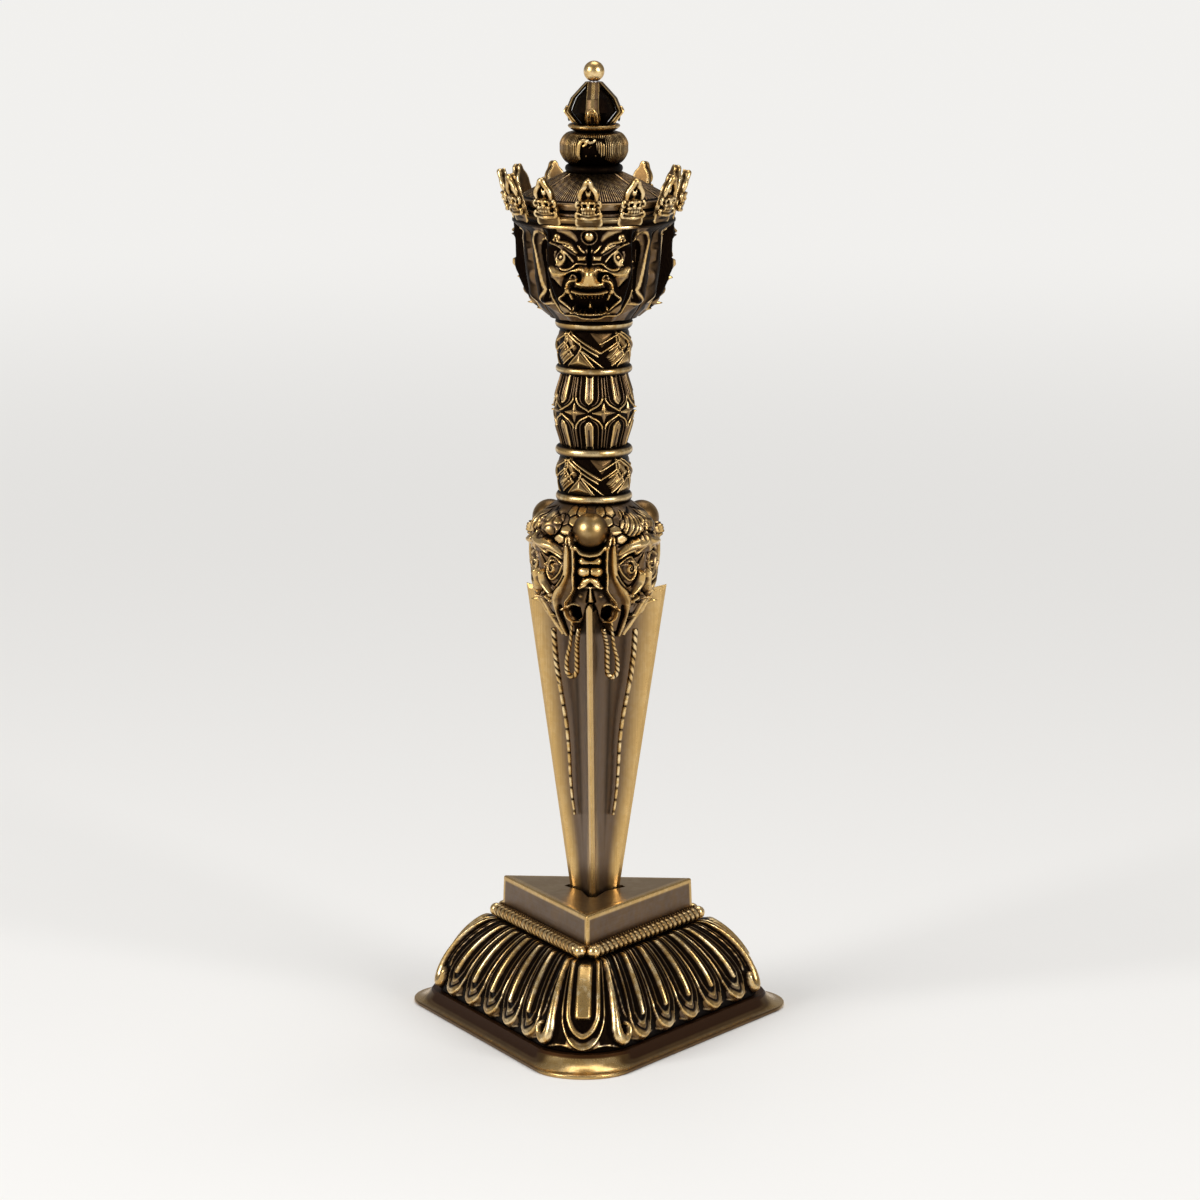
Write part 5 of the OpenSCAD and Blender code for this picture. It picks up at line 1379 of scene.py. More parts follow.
def face_forms(c):
    """Broad forms of a wrathful face: brow, eye hollows, nose, cheeks, open mouth and jaw."""
    panel = [(0, 23.7), (11.8, 23.7), (11.1, 23.7), (12.3, 20), (12.2, 12.7), (12.5, 8.1), (11.4, 5.6),
             (9.3, 1.8), (0, 0.5)]
    c.plate(panel, 0.0, 0.3, tone=-0.85)
    c.plate([(7.2, 23.2), (5.6, 23.2), (4, 22.7), (2.9, 21.5), (2.5, 20.2), (2.9, 19.6), (4.8, 20.9),
             (6.2, 21.8), (7.2, 22.2)], 0.5, 0.6, tone=0.1)
    c.flow([(7.4, 20.3), (5.7, 19.5), (4.2, 18.4), (2.8, 17.3)], [0.8, 1.2, 1.1, 0.7], 0.9, "soft")
    c.plate([(7.7, 18.3), (6, 17.6), (4.6, 16.1), (3.7, 14.8), (5.1, 13.6), (6.7, 13.7), (7.7, 15.2)], -1.0,
            0.8)
    # Eyeball
    c.dome(6.5, 15.9, 1.15, 2.15, 1.5, "round", 10, tone=0.55)
    # Nose: a broad bridge that widens to a flat tip
    c.plate([(2.8, 13.9), (0, 14.1), (0, 8.2), (2.2, 8.4), (3.7, 9.4), (3.6, 10.3), (2.2, 10.7), (2, 12),
             (2.5, 12.9)], 1.4, 1.2, tone=0.5)
    c.dome(0, 10.8, 3.0, 2.2, 1.0, "soft")
    c.line([(0, 14.6), (0, 12.4)], [0.8, 1.6], [0.4, 0.9], "soft")
    # Cheek: a bright roll that flows into the nose, over a flat facet
    c.plate([(8.9, 13.3), (7.6, 12.7), (5.5, 12.3), (3.6, 13), (2.1, 13.5), (2.8, 12.6), (5, 12), (6, 11),
             (6.8, 8.8), (8, 9.6), (8.8, 11.4)], 0.7, 0.8, tone=FLAT)
    c.flow([(8.7, 13.5), (7.7, 12.6), (5.7, 12.4), (3.8, 12.9), (2.1, 13.5)], [0.7, 1.1, 1.0, 0.9, 0.8],
           1.0, "soft", tone=0.6)
    c.dome(8.9, 12.0, 2.0, 2.6, 0.6, "soft")
    c.dome(8.4, 19.6, 1.5, 1.5, 0.7, "soft")
    # Lips and the open mouth
    c.line([(0, 7.7), (2.3, 7.7), (4, 8.2)], [1.0, 1.0, 0.9], 1.2, "soft")
    mouth = [(0, 6.9), (2.3, 7), (4.1, 7.3), (5.4, 7.7), (7.6, 6), (6.5, 4.3), (4.9, 2.7), (2.5, 2.5),
             (0, 2.4)]
    c.plate(mouth, -1.6, 0.5, tone=BLACK)
    c.flow([(0, 2), (2.5, 2.2), (4.5, 2.7), (5, 4)], [0.9, 0.9, 0.8, 0.6], 1.4, "soft")


def face_features(c):
    # Rim of the forehead with its rounded corner
    c.flow([(0, 23.7), (3.6, 23.7), (7.8, 23.7), (12.6, 23.7)], 0.55, 0.9, tone=0.45)
    c.flow([(11.6, 23.7), (12.4, 23.7), (11.1, 23), (12, 21), (11.5, 19.6)], [0.5, 0.5, 0.45, 0.4, 0.3],
           0.6, tone=FLAT)
    c.flow([(0, 23), (3.4, 23.2), (5.7, 23.7), (7.8, 23.7), (8.6, 22.6), (8.8, 20)], 0.3, -0.9, **GAP)
    # Third eye in its ring
    eye = (0, 21)
    c.dome(*eye, 2.3, 2.3, -0.6, "flat", tone=BLACK)
    c.ring(*eye, 1.8, 0.16, 0.5, tone=0.4)
    c.dome(*eye, 1.2, 1.2, 1.6, tone=0.5)
    # Flame brow from its small loop down to the nose
    c.dome(7.2, 20.7, 0.8, 1.05, 0.8, tone=0.9)
    c.dome(7.2, 20.3, 0.3, 0.5, -1.0, **GAP)
    c.flow([(6.5, 19.9), (5.5, 19.8), (4.5, 19.4), (3.8, 18.6), (2.8, 17.3)], [0.35, 0.36, 0.34, 0.3, 0.2],
           0.7, tone=0.7)
    c.flow([(5.7, 19.1), (4.9, 18.8), (4, 18.2), (3.2, 17.5)], [0.2, 0.26, 0.26, 0.2], 0.4, tone=0.45)
    c.flow([(6.7, 18.9), (5.6, 18.3), (4.6, 17.5), (3.2, 16.7)], [0.22, 0.26, 0.26, 0.2], 0.45, tone=0.15)
    for spot in [(5.3, 19.3), (4.6, 18.9), (3.9, 18.3)]:
        c.dome(*spot, 0.16, 0.2, -0.7, tone=BLACK)
    c.flow([(2.6, 18.9), (2.1, 18.1), (1.2, 17.3)], [0.16, 0.26, 0.2], 0.6, tone=0.6)
    c.line([(0.6, 17.8), (0.3, 17.3)], 0.24, 0.5, tone=0.5)
    # Roots of the nose with the dark cleft between
    c.plate([(3, 16.6), (0.8, 16.5), (0.8, 15.3), (2.8, 15.2)], 0.7, 0.35, tone=0.3)
    c.line([(0, 18.6), (0, 14.2)], [0.5, 0.6], -1.6, **GAP)
    c.line([(3.1, 14.6), (2.1, 14.7), (0.9, 14.5)], 0.2, 0.5, tone=0.4)
    # Lids and the pupil
    c.flow([(8.6, 19.6), (7.2, 18.8), (5.8, 17.7), (4.6, 16.2), (3.7, 15)], [0.16, 0.22, 0.24, 0.22, 0.18],
           0.7, tone=0.3)
    c.flow([(7.6, 14.4), (6.8, 13.5), (5.5, 13.2), (4.1, 13.7), (3.1, 14.6)], [0.2, 0.3, 0.32, 0.28, 0.2],
           0.8, tone=0.35)
    c.flow([(7.3, 14.1), (6.5, 12.9), (5.2, 12.8), (3.8, 13.4), (2.5, 14.1)], 0.2, -0.6, **GAP)
    pupil = (6.6, 16.2)
    c.ring(*pupil, 0.5, 0.17, -0.6, "soft", 1.5, tone=BLACK)
    c.dome(*pupil, 0.26, 0.4, 0.4, tone=0.9)
    c.flow([(7.7, 17.5), (7.9, 16.6), (7.7, 15.3)], 0.16, 0.3, tone=0.4)
    # Hollow over the nostril's wing, with a small curl in it
    c.flow([(5.8, 11.3), (4.8, 12.1), (3.7, 12.5), (2.7, 12), (2.3, 11.2), (2.7, 10.5)],
           [0.3, 0.42, 0.42, 0.5, 0.5, 0.35], -1.6, **GAP)
    c.flow([(4.6, 11.2), (3.9, 12), (3, 11.1)], 0.14, 0.7, tone=0.4)
    c.flow([(3.1, 10.7), (4.4, 10.5), (5.3, 9.6), (5.2, 8.8)], [0.6, 0.75, 0.6, 0.4], 1.3, "soft", tone=0.65)
    c.flow([(8.6, 10.9), (7.9, 9.9), (7.1, 8.8)], [0.2, 0.36, 0.3], -1.0, **GAP)
    # Under the nose, upper lip, teeth and fangs
    c.flow([(0, 8.1), (2.2, 8.3), (4, 8.8)], [0.4, 0.4, 0.3], -1.4, **GAP)
    c.line([(2.2, 8.7), (3.7, 9.1)], 0.12, 0.4, tone=0.3)
    c.flow([(0, 7.3), (2.3, 7.4), (4.2, 7.9)], 0.32, 0.7, tone=0.45)
    c.flow([(5.1, 9), (5.3, 7.7), (5, 6.7), (4.6, 5.7)], [0.45, 0.5, 0.42, 0.15], [0.9, 1.3, 2.0, 2.4],
           tone=0.65)
    for x, y in [(3.3, 6.5), (2.4, 6.2), (1.5, 6.1), (0.6, 6.1)]:
        c.line([(x, y + 0.6), (x, y - 0.15)], [0.32, 0.15], 1.4, tone=0.6)
    c.plate([(0, 3.1), (0.8, 3.4), (0.9, 4), (0.4, 5), (0, 5.5)], 1.7, 0.5, tone=0.55)
    for points in ([(4.9, 2.7), (4.6, 4.2)], [(3.1, 2.6), (3, 3.3)], [(1.6, 2.5), (1.6, 3.1)]):
        c.line(points, [0.4, 0.12], 1.7, tone=0.75)
    c.flow([(0, 2.1), (2.5, 2.3), (4.3, 2.8)], 0.24, 0.8, tone=0.5)
    # Frame of the mouth, the facet beside it, chin and jaw lines
    c.line(curve([(5.4, 8.8), (6.4, 7.1), (7.8, 6), (6.6, 4.5), (4.6, 2.4)], 5),
           [0.2, 0.22, 0.24, 0.24, 0.2], 0.9, tone=0.45)
    c.plate([(8.4, 4.8), (6.5, 3.6), (5.3, 2.3), (7.5, 2.1), (9.4, 3.2)], 0.4, 0.4, tone=0.05)
    c.flow([(0, 0.6), (3.2, 0.9), (4.9, 1.6), (9.3, 1.8), (10.5, 3.5), (11.4, 5.6), (12.2, 7.7)], 0.26, 0.8,
           tone=0.45)
    c.flow([(0, 1.4), (2, 1.5), (3.4, 1.7)], [0.3, 0.3, 0.15], -0.8, **GAP)


def ear_frames(c):
    """The tall frames beside the face, with black panels, and the facets under them."""
    c.plate([(12, 20.2), (13.7, 19.5), (13.8, 16.7), (13.4, 12.7), (13.3, 7.6), (14.5, 4.7), (12.7, 4.7),
             (12.5, 7.9), (12.4, 12.7), (12, 17.3)], -0.9, 0.35, tone=BLACK)
    frame = [(11.9, 21.1), (13, 21.7), (14.8, 21.2), (15.3, 19.5), (14.8, 16.3), (14.3, 12.7), (13.9, 9),
             (13.7, 7.2), (16, 4.2), (11.4, 4.4)]
    c.line(curve(frame, 5), [0.3, 0.34, 0.34, 0.32, 0.3, 0.3, 0.3, 0.28, 0.26, 0.24], 0.7, tone=0.45)
    c.flow([(13.1, 17.6), (13, 15.9), (13.1, 14)], [0.1, 0.2, 0.1], 0.5, tone=0.2)
    c.flow([(13.8, 18.6), (13.1, 19.7), (11.7, 20)], 0.18, 0.5, tone=0.25)
    c.line([(13.2, 5.6), (12.7, 6.3), (12.3, 7.8)], [0.15, 0.35, 0.2], 0.6, tone=0.25)
    for spot in [(12.6, 13), (11.9, 14.6)]:
        c.dome(*spot, 0.35, 0.3, 0.5, tone=0.3)
    # The join between two faces: a dark line with facets each side
    side = 60 * FACE_DEGREE
    c.line([(side, 0), (side, 24)], 0.4, -0.7, **GAP)
    c.plate([(side - 0.4, 17.4), (side - 1.7, 17.0), (side - 1.7, 14.2), (side - 0.4, 13.6)], 0.45, 0.4,
            tone=-0.2)
    c.dome(side - 0.4, 10.2, 1.6, 2.2, 0.8, "soft", tone=0.05)
    c.plate([(side - 0.4, 22.3), (side - 1.8, 21.4), (side - 1.7, 18.6), (side - 0.4, 18.3)], 0.45, 0.4,
            tone=-0.3)
    c.plate([(16.4, 3.7), (11.2, 4.1), (10.4, 1.5), (13.7, 2.1)], 0.4, 0.4, tone=0.0)


def face_half(w):
    return 10.6 * np.interp(w, [0, 0.1, 0.24, 0.4, 0.6, 1], [0.42, 0.56, 0.76, 0.9, 1, 1])


def head_reach(degrees, w):
    """Radius of the head before its carving, w running from 0 at the neck to 1 at the crown."""
    plane = 17.2 * np.interp(w, [0, 0.1, 0.24, 0.4, 0.6, 0.8, 0.93, 1],
                             [0.6, 0.76, 0.88, 0.965, 1, 1.01, 1.03, 1.04])
    temple = 15.0 * np.interp(w, [0, 0.1, 0.25, 0.5, 0.8, 0.92, 1], [0.69, 0.84, 0.95, 1.01, 1.05, 1.08, 1.2])
    a = np.minimum(degrees, 45)
    x = plane * np.tan(np.radians(a))
    face = np.minimum((plane - 0.012 * x * x) / np.cos(np.radians(a)), 20.1)
    side = smooth(x, face_half(w), face_half(w) + 2.2)
    across = smooth(degrees, 44, 47) * smooth(-degrees, -58, -55)
    return mixed(face, temple, side) + 1.6 * across * smooth(w, 0.14, 0.22) * smooth(-w, -0.97, -0.86)


def make_faces_head(looks):
    """The head: three wrathful faces with their ear frames, flat panels in front and round behind."""
    foot, top = node_z("three_faced_head")
    high, half = top - foot, 60 * FACE_DEGREE
    c = Chart(-half, half, 0, high, 0.172, mirrored=True)
    degrees, w = c.x / FACE_DEGREE, c.y / high
    face_forms(c)
    face_features(c)
    ear_frames(c)
    c.h = np.minimum(c.h, mixed(9.0, 0.7, smooth(degrees, 40, 44)))
    c.soften(0.55)
    c.h *= smooth(w, 0, 0.05) * smooth(1 - w, 0, 0.03)
    plain = smooth(degrees, 43, 48) * (c.tone < 0.2)
    reach = head_reach(degrees, w) + c.h * 0.9
    # Softer beside the face, where the carving is seen edge on, and round under the crown
    reach = mixed(reach, blurred(reach, 3.5), smooth(degrees, 38, 44))
    reach = mixed(np.minimum(reach, 20.6), 19.2, w**24)
    relief = clamp(c.relief(0.45, c.tone - 0.5 * plain), -1, 1)
    obj = three_sided("three_wrathful_faces", c, FACE_DEGREE, foot, reach, relief)
    finish = brass("Face brass", looks, wear=0.05, lilac=0.4, cloudy=0.5)
    return settle(obj, "dagger", ["three_faced_head"], finish)


# The crown, the hair and the finial

def blob(centre, radii):
    return ball_at(centre, 1.0, 0.0, 20, 12, radii)


def rod_along(points, radii, relief=0.0, sides=12):
    """A closed round rod along the points, its radius read along them."""
    path = resampled(curve(points, 5), 0.18)
    length = run_along(path)[-1]
    grid = sweep(path, lambda s, a: np.interp(s, np.linspace(0, length, len(radii)), radii) + 0 * a, sides,
                 (0.3, 1.0, 0.2))
    return skin(grid, relief)


def skull_leaf():
    """One crown leaf seen from its front: x across, y inwards, z up, its foot at the origin."""
    parts = []
    # The plate behind, with the flame's wavy outline
    half = [(2.9, 0.2), (3.0, 3.4), (2.5, 6.8), (2.35, 8.7), (1.9, 9.9), (1.0, 11.0), (0.7, 12.0)]
    back = [(-x, z) for x, z in half] + [(0.0, 12.6)] + half[::-1]
    outline = curve(back, 3, closed=True)
    front, rear = (np.column_stack([outline[:, 0], np.full(len(outline), y), outline[:, 1]])
                   for y in (0.2, 1.2))
    parts.append(skin(np.array([front, rear]), 0.0))
    # The flame's thick rolled rim with its rounded tip
    rim = [(1.9, -0.1, 7.3), (2.05, -0.3, 8.6), (1.65, -0.3, 9.7), (0.8, -0.3, 10.9), (0.35, -0.3, 11.8)]
    rim = [(-x, y, z) for x, y, z in rim] + [(0.0, -0.3, 12.0)] + rim[::-1]
    parts += [rod_along(rim, [0.45, 0.6, 0.62, 0.6, 0.7, 0.78, 0.7, 0.6, 0.62, 0.6, 0.45]),
              blob([0, 0.15, 9.0], [0.7, 0.55, 1.1])]
    # The skull: brow and cheeks, then its ears and the curls under them
    parts += [blob([0, -0.1, 6.5], [2.1, 1.2, 1.25]), blob([0, -0.2, 5.1], [1.9, 1.05, 0.9])]
    ear = [(1.9, 0, 6.3), (2.6, -0.2, 6.8), (2.95, -0.2, 6.1), (2.6, -0.3, 5.5), (2.2, -0.2, 5.8)]
    curl = [(1.9, -0.3, 3.2), (2.6, -0.4, 3.0), (3.0, -0.4, 3.6), (2.7, -0.5, 4.2), (2.3, -0.4, 3.9)]
    for side in (-1, 1):
        parts += [blob([side * 0.95, -1.1, 7.05], [0.8, 0.35, 0.32]),
                  blob([side * 1.4, -0.85, 5.4], [0.5, 0.4, 0.4])]
        for points, radii in ((ear, [0.42, 0.46, 0.44, 0.38, 0.3]), (curl, [0.42, 0.48, 0.48, 0.4, 0.3])):
            parts.append(rod_along([(side * x, y, z) for x, y, z in points], radii))
    # Nose, teeth and the two rolls under them
    parts.append(blob([0, -1.25, 5.75], [0.3, 0.3, 0.42]))
    parts += [blob([0.66 * i, -1.1 + 0.07 * i**2, 4.55], [0.3, 0.3, 0.42]) for i in range(-2, 3)]
    parts += [rod_along([(-2.4, -0.3, 3.85), (0, -0.95, 3.8), (2.4, -0.3, 3.85)], [0.3, 0.34, 0.3]),
              rod_along([(-2.4, -0.3, 3.0), (0, -0.9, 2.9), (2.4, -0.3, 3.0)], [0.42, 0.5, 0.42])]
    obj = remeshed(new_mesh("skull_leaf", *joined(parts)), 0.19, 1)
    # Sunk eyes and nose
    mesh = obj.data
    p = np.array([v.co[:] for v in mesh.vertices]) / MM
    for x, z, r, deep in ((-0.85, 6.25, 0.6, 1.1), (0.85, 6.25, 0.6, 1.1), (0, 9.7, 0.45, 0.8)):
        q = np.hypot(p[:, 0] - x, p[:, 2] - z) / r
        p[:, 1] += deep * clamp(1 - q**2) * (p[:, 1] < 0.2)
    mesh.vertices.foreach_set("co", (p * MM).ravel())
    mesh.update()
    return hollows(obj, 14, 0.15)


def mesh_part(obj):
    """Points, faces and relief of an object, in millimetres."""
    mesh = obj.data
    p = np.array([v.co[:] for v in mesh.vertices]) / MM
    relief = np.empty(len(mesh.vertices), dtype=np.float32)
    mesh.attributes["relief"].data.foreach_get("value", relief)
    return p, [list(f.vertices) for f in mesh.polygons], relief


def crown_band(inner, foot):
    """The moulded band, rubbed along its foot over each face and dark elsewhere."""
    band = np.array([(inner, 0), (19.2, 0), (19.5, 0.25), (19.5, 0.7), (19.2, 0.95), (19.05, 1.2),
                     (19.2, 1.5), (19.45, 1.8), (19.5, 2.3), (19.2, 2.8), (inner, 3.0)])
    a = round_angles(240)[None, :]
    away = np.abs((np.degrees(a) + 90 + SECTOR / 2) % SECTOR - SECTOR / 2)
    lower = mixed(0.75, -0.35, smooth(away, 26, 38))
    upper = mixed(0.12, -0.45, smooth(away, 20, 45))
    black = BLACK + 0 * away
    relief = np.vstack([black, lower - 0.5, lower, lower - 0.2, lower - 1, black, upper - 0.3, upper,
                        upper + 0.15, upper, black])
    return skin(round_grid(band[:, :1], a, band[:, 1:] + foot), clamp(relief, -1, 1), hollow=True)


def make_skull_crown(looks, sizes):
    """The crown's moulded band and its skull leaves, one modelled and the rest set round."""
    foot, top = node_z("skull_crown")
    inner, lean, drawn_high = 18.25, radians(15), 12.8
    parts = [crown_band(inner, foot)]
    one = skull_leaf()
    p, faces, relief = mesh_part(one)
    bpy.data.objects.remove(one)
    p = p * min(1.0, (top - foot - 0.4) / (drawn_high * cos(lean)))
    x, y, z = p.T
    out = np.maximum(19.15 - y * cos(lean) + z * sin(lean), inner + 0.02)
    leaf = np.column_stack([out, x, foot + 0.3 + z * cos(lean) + y * sin(lean)])
    for k in range(sizes.leaves):
        parts.append((turned(leaf, radians(-90 + 360.0 * k / sizes.leaves)), faces, relief))
    obj = new_mesh("crown_of_skulls", *joined(parts))
    finish = brass("Skull brass", looks, wear=0.12, darkness=0.1)
    return settle(obj, "dagger", ["skull_crown"], finish)


def make_hair_cap(looks, sizes):
    """Hair combed out from the topknot, over two bands at its rim."""
    foot, top = node_z("hair_cap")
    rim, inner, hair_foot = 18.2, 6.7, 6.3
    # Each point of the rim's profile with how rubbed it is
    bands = [(rim, 0, -0.5), (rim, 3.2, -0.2), (rim - 0.05, 3.5, 0.2), (rim - 0.5, 3.7, -1),
             (rim - 0.5, 4.2, -1), (rim - 0.05, 4.4, -0.3), (rim, 4.6, 0.3), (rim, 5.7, 0.4),
             (rim - 0.2, 5.95, 0.45), (rim - 0.9, 6.1, -0.6), (rim - 1.0, hair_foot, -0.9)]
    t = np.linspace(0, 1, 30)[1:]
    rise = (top - foot - hair_foot) * (t * 0.86 + 0.14 * np.sin(pi * t / 2))
    rows = np.vstack([bands, np.column_stack([mixed(rim - 1.0, inner, t), hair_foot + rise, 0 * t])])
    r, z, rim_tone = (rows[:, k:k + 1] for k in range(3))
    u = np.arange(1080) / 1080
    combed = np.abs(np.sin(pi * sizes.combed * u)) ** 0.8
    wave = 0.5 + 0.5 * np.sin(2 * pi * u * 37 + 0.7 * np.sin(2 * pi * u * 5))
    # Six raised partings, one at each side of each face
    parting = np.zeros(len(u))
    for k in range(6):
        middle = SECTOR * (k // 2) - 90 + (52 if k % 2 else -52)
        away = (u * 360 - middle + 180) % 360 - 180
        parting += np.exp(-(away / 0.7) ** 2) - 1.1 * np.exp(-((np.abs(away) - 2.2) / 1.0) ** 2)
    share = np.concatenate([np.zeros(len(bands)), smooth(t, 0, 0.06)])[:, None]
    lift = share * (0.2 * (combed - 0.6) + 0.1 * (wave - 0.5) + 0.35 * parting)
    crossed = 0.16 * np.sin(2 * pi * (z * 1.1 + 24 * u))
    relief = share * ((combed - 0.84) * 3.4 + 0.2 * (wave - 0.5) + crossed + 1.2 * parting) + rim_tone
    grid = round_grid(r, 2 * pi * u, z + foot + lift * 0.8)
    obj = new_mesh("combed_hair", *skin(grid, clamp(relief, -1, 1)))
    finish = brass("Hair brass", looks, wear=-0.1, darkness=0.08, lilac=0.5, cloudy=0.5)
    return settle(obj, "dagger", ["hair_cap"], finish)


def make_knot(looks):
    """The bound knot of hair, with a dark recess in its front for the hook."""
    foot, top = node_z("topknot")
    widest = 8.18
    y = np.linspace(0, 1, 40)[:, None]
    u = np.arange(900)[None, :] / 900
    r = mixed(5.6, 8.15, np.sin(pi * y**1.1) ** 0.55)
    strands = np.abs(np.sin(pi * (u * 96 + 0.25 * np.sin(2 * pi * u * 9)))) ** 0.8
    thick = 0.5 + 0.5 * np.sin(2 * pi * u * 21 + 1.0)
    edge = smooth(y, 0, 0.1) * smooth(1 - y, 0, 0.06)
    # The recess runs out to the right at its foot
    across = ((u + 0.5) % 1.0 - 0.5) * 2 * pi * 8.2
    left = np.interp(y, [0, 0.15, 0.4, 0.8, 0.88], [-6, -3.9, -3.4, -3.1, -1.8])
    right = np.interp(y, [0, 0.12, 0.3, 0.5, 0.8, 0.88], [7.5, 5.0, 2.4, 1.4, 1.0, 0.4])
    recess = smooth(across - left, 0, 0.4) * smooth(right - across, 0, 0.4) * smooth(0.9 - y, 0, 0.05)
    lift = edge * (0.3 * (strands - 0.6) + 0.08 * (thick - 0.5)) * (1 - recess)
    grid = round_grid(np.minimum(r + lift, widest) - 0.8 * recess, 2 * pi * u - pi / 2, mixed(foot, top, y))
    relief = (strands - 0.74) * 2.6 + 0.3 * (thick - 0.5) - 1.5 * recess - 1.2 * (1 - smooth(y, 0.02, 0.24))
    obj = new_mesh("bound_topknot", *skin(grid, clamp(relief, -1, 1)))
    finish = brass("Topknot brass", looks, wear=-0.1, darkness=0.06, lilac=0.2, cloudy=0.6)
    settle(obj, "dagger", ["topknot"], finish)


def make_hook(looks):
    """The hooked ornament in the knot's front: a back plate, a hook, a loop and four studs."""
    low, high = node_box("topknot_clasp")
    back, foot, top = high[1] - 0.02, low[2] + 0.1, high[2] - 0.1
    left, right = low[0] + 0.1, high[0] - 0.1
    plate = [(left, foot), (right, foot), (right, top), (left, top)]
    parts = [skin(np.array([[[x, y, z] for x, z in plate] for y in (back - 0.75, back)]), BLACK)]
    front = back - 1.05
    hook = [(-3.0, 0.35, 0.1), (-3.25, 0, 1.4), (-3.2, 0, 2.7), (-3.0, -0.05, 3.7), (-2.4, -0.1, 4.5),
            (-1.55, -0.1, 4.5), (-1.5, -0.1, 3.7), (-2.2, 0, 3.2)]
    loop = [(-1.05, 0, 4.95), (-1.0, 0, 4.3), (-0.3, 0, 4.1), (0.5, 0, 4.4), (0.75, 0, 4.95)]
    for points, radii, tone in ((hook, [0.3, 0.42, 0.46, 0.5, 0.5, 0.42, 0.4, 0.3], 0.75),
                                (loop, [0.26, 0.34, 0.36, 0.34, 0.26], 0.6)):
        parts.append(rod_along([(x, front + y, foot + z) for x, y, z in points], radii, tone))
    for x, z in ((-0.6, 2.9), (-0.3, 3.2), (0.9, 1.0), (-1.4, 0.9)):
        parts.append(ball_at([x, back - 0.85, foot + z], 1.0, -0.25, 20, 12, (0.2, 0.2, 0.24)))
    clasp = new_mesh("topknot_hook", *joined(parts))
    settle(clasp, "dagger", ["topknot_clasp"], brass("Hook brass", looks, wear=0.1))


def make_topknot(looks):
    make_knot(looks)
    make_hook(looks)


# A prong's reach as a share of the widest, and its half width and depth in millimetres, up its height
PRONG_OUT = ([0, 0.16, 0.3, 0.4, 0.62, 0.85, 1], [0.66, 0.84, 1, 0.93, 0.8, 0.5, 0.3])
PRONG_WIDE = ([0, 0.16, 0.3, 0.4, 0.85, 1], [1.68, 1.85, 1.68, 1.55, 1.45, 1.34])
PRONG_DEEP = ([0, 0.3, 0.4, 1], [1.5, 1.5, 1.3, 1.2])


def make_collar_and_core(looks, polished):
    """The turned collar and the dark core that the prongs stand round."""
    bore = 1.06
    foot, top, r = node_round("vajra_collar")
    h = top - foot
    profile = np.array([(bore, foot), (r - 1.9, foot), (r - 0.9, foot + 0.3 * h), (r - 0.2, foot + 0.55 * h),
                        (r, foot + 0.72 * h), (r - 0.12, foot + 0.88 * h), (r - 0.4, foot + 0.97 * h),
                        (r - 1.1, foot + 0.93 * h), (r - 2.0, top), (bore, top)])
    tone = np.interp(profile[:, 0], [r - 1.9, r - 0.8, r - 0.3, r], [-1, -0.5, 0.4, 0.85])
    turned_piece("finial_collar", profile, tone, "vajra_collar", polished, 120)
    foot, top, reach = node_round("vajra_prongs")
    core_top = node_z("vajra_core")[1]
    z = np.linspace(foot, core_top, 24)
    y = (z - foot) / (top - foot)
    behind = np.interp(y, *PRONG_OUT) * reach - np.interp(y, *PRONG_DEEP) - 0.12
    profile = np.vstack([(bore, foot), np.column_stack([np.maximum(behind, 1.4), z]), (bore, core_top)])
    turned_piece("finial_core", profile, np.full(len(profile), BLACK), "vajra_core",
                 brass("Core brass", looks, darkness=0.2), 64)


def prong(foot, h, reach):
    """One prong, seen along x: narrow behind, with a rim along each side and a keel in front."""
    y = np.linspace(0, 1, 60)
    bow, w, d = np.interp(y, *PRONG_OUT) * reach, np.interp(y, *PRONG_WIDE), np.interp(y, *PRONG_DEEP)
    half = [(-1.0, -0.7), (-0.5, -1.0), (-0.3, -0.98), (-0.3, -0.8), (-0.05, -0.38), (0.0, -0.16)]
    section = half + [(u, -v) for u, v in half[::-1]]
    edges = np.array([-0.2, 0.85, 0.95, -0.1, 0.1, 0.75])
    rows = zip(bow, w, d, foot + y * h)
    grid = np.array([[[out + u * deep, v * wide, z] for u, v in section] for out, wide, deep, z in rows])
    return skin(grid, np.concatenate([edges, edges[::-1]]))


def prong_leaf(foot, h, reach):
    """The small leaf at a prong's foot: two arches round a dark slot."""
    s = np.linspace(-0.5, 0.5, 30)
    parts = []
    for wide, tall, thick in ((1.15, 3.7, 0.3), (0.55, 2.9, 0.16)):
        up = foot + 0.3 + tall * np.cos(pi * s) ** 0.7
        out = np.interp((up - foot) / h, *PRONG_OUT) * reach + 0.05
        path = np.column_stack([out, wide * np.sin(pi * s), up])
        parts.append(skin(sweep(path, lambda along, angle: thick + 0 * along * angle, 10), 0.9))
    return parts + [ball_at([0.86 * reach, 0, foot + 1.7], 1.0, BLACK, 14, 10, (0.35, 0.36, 1.2))]


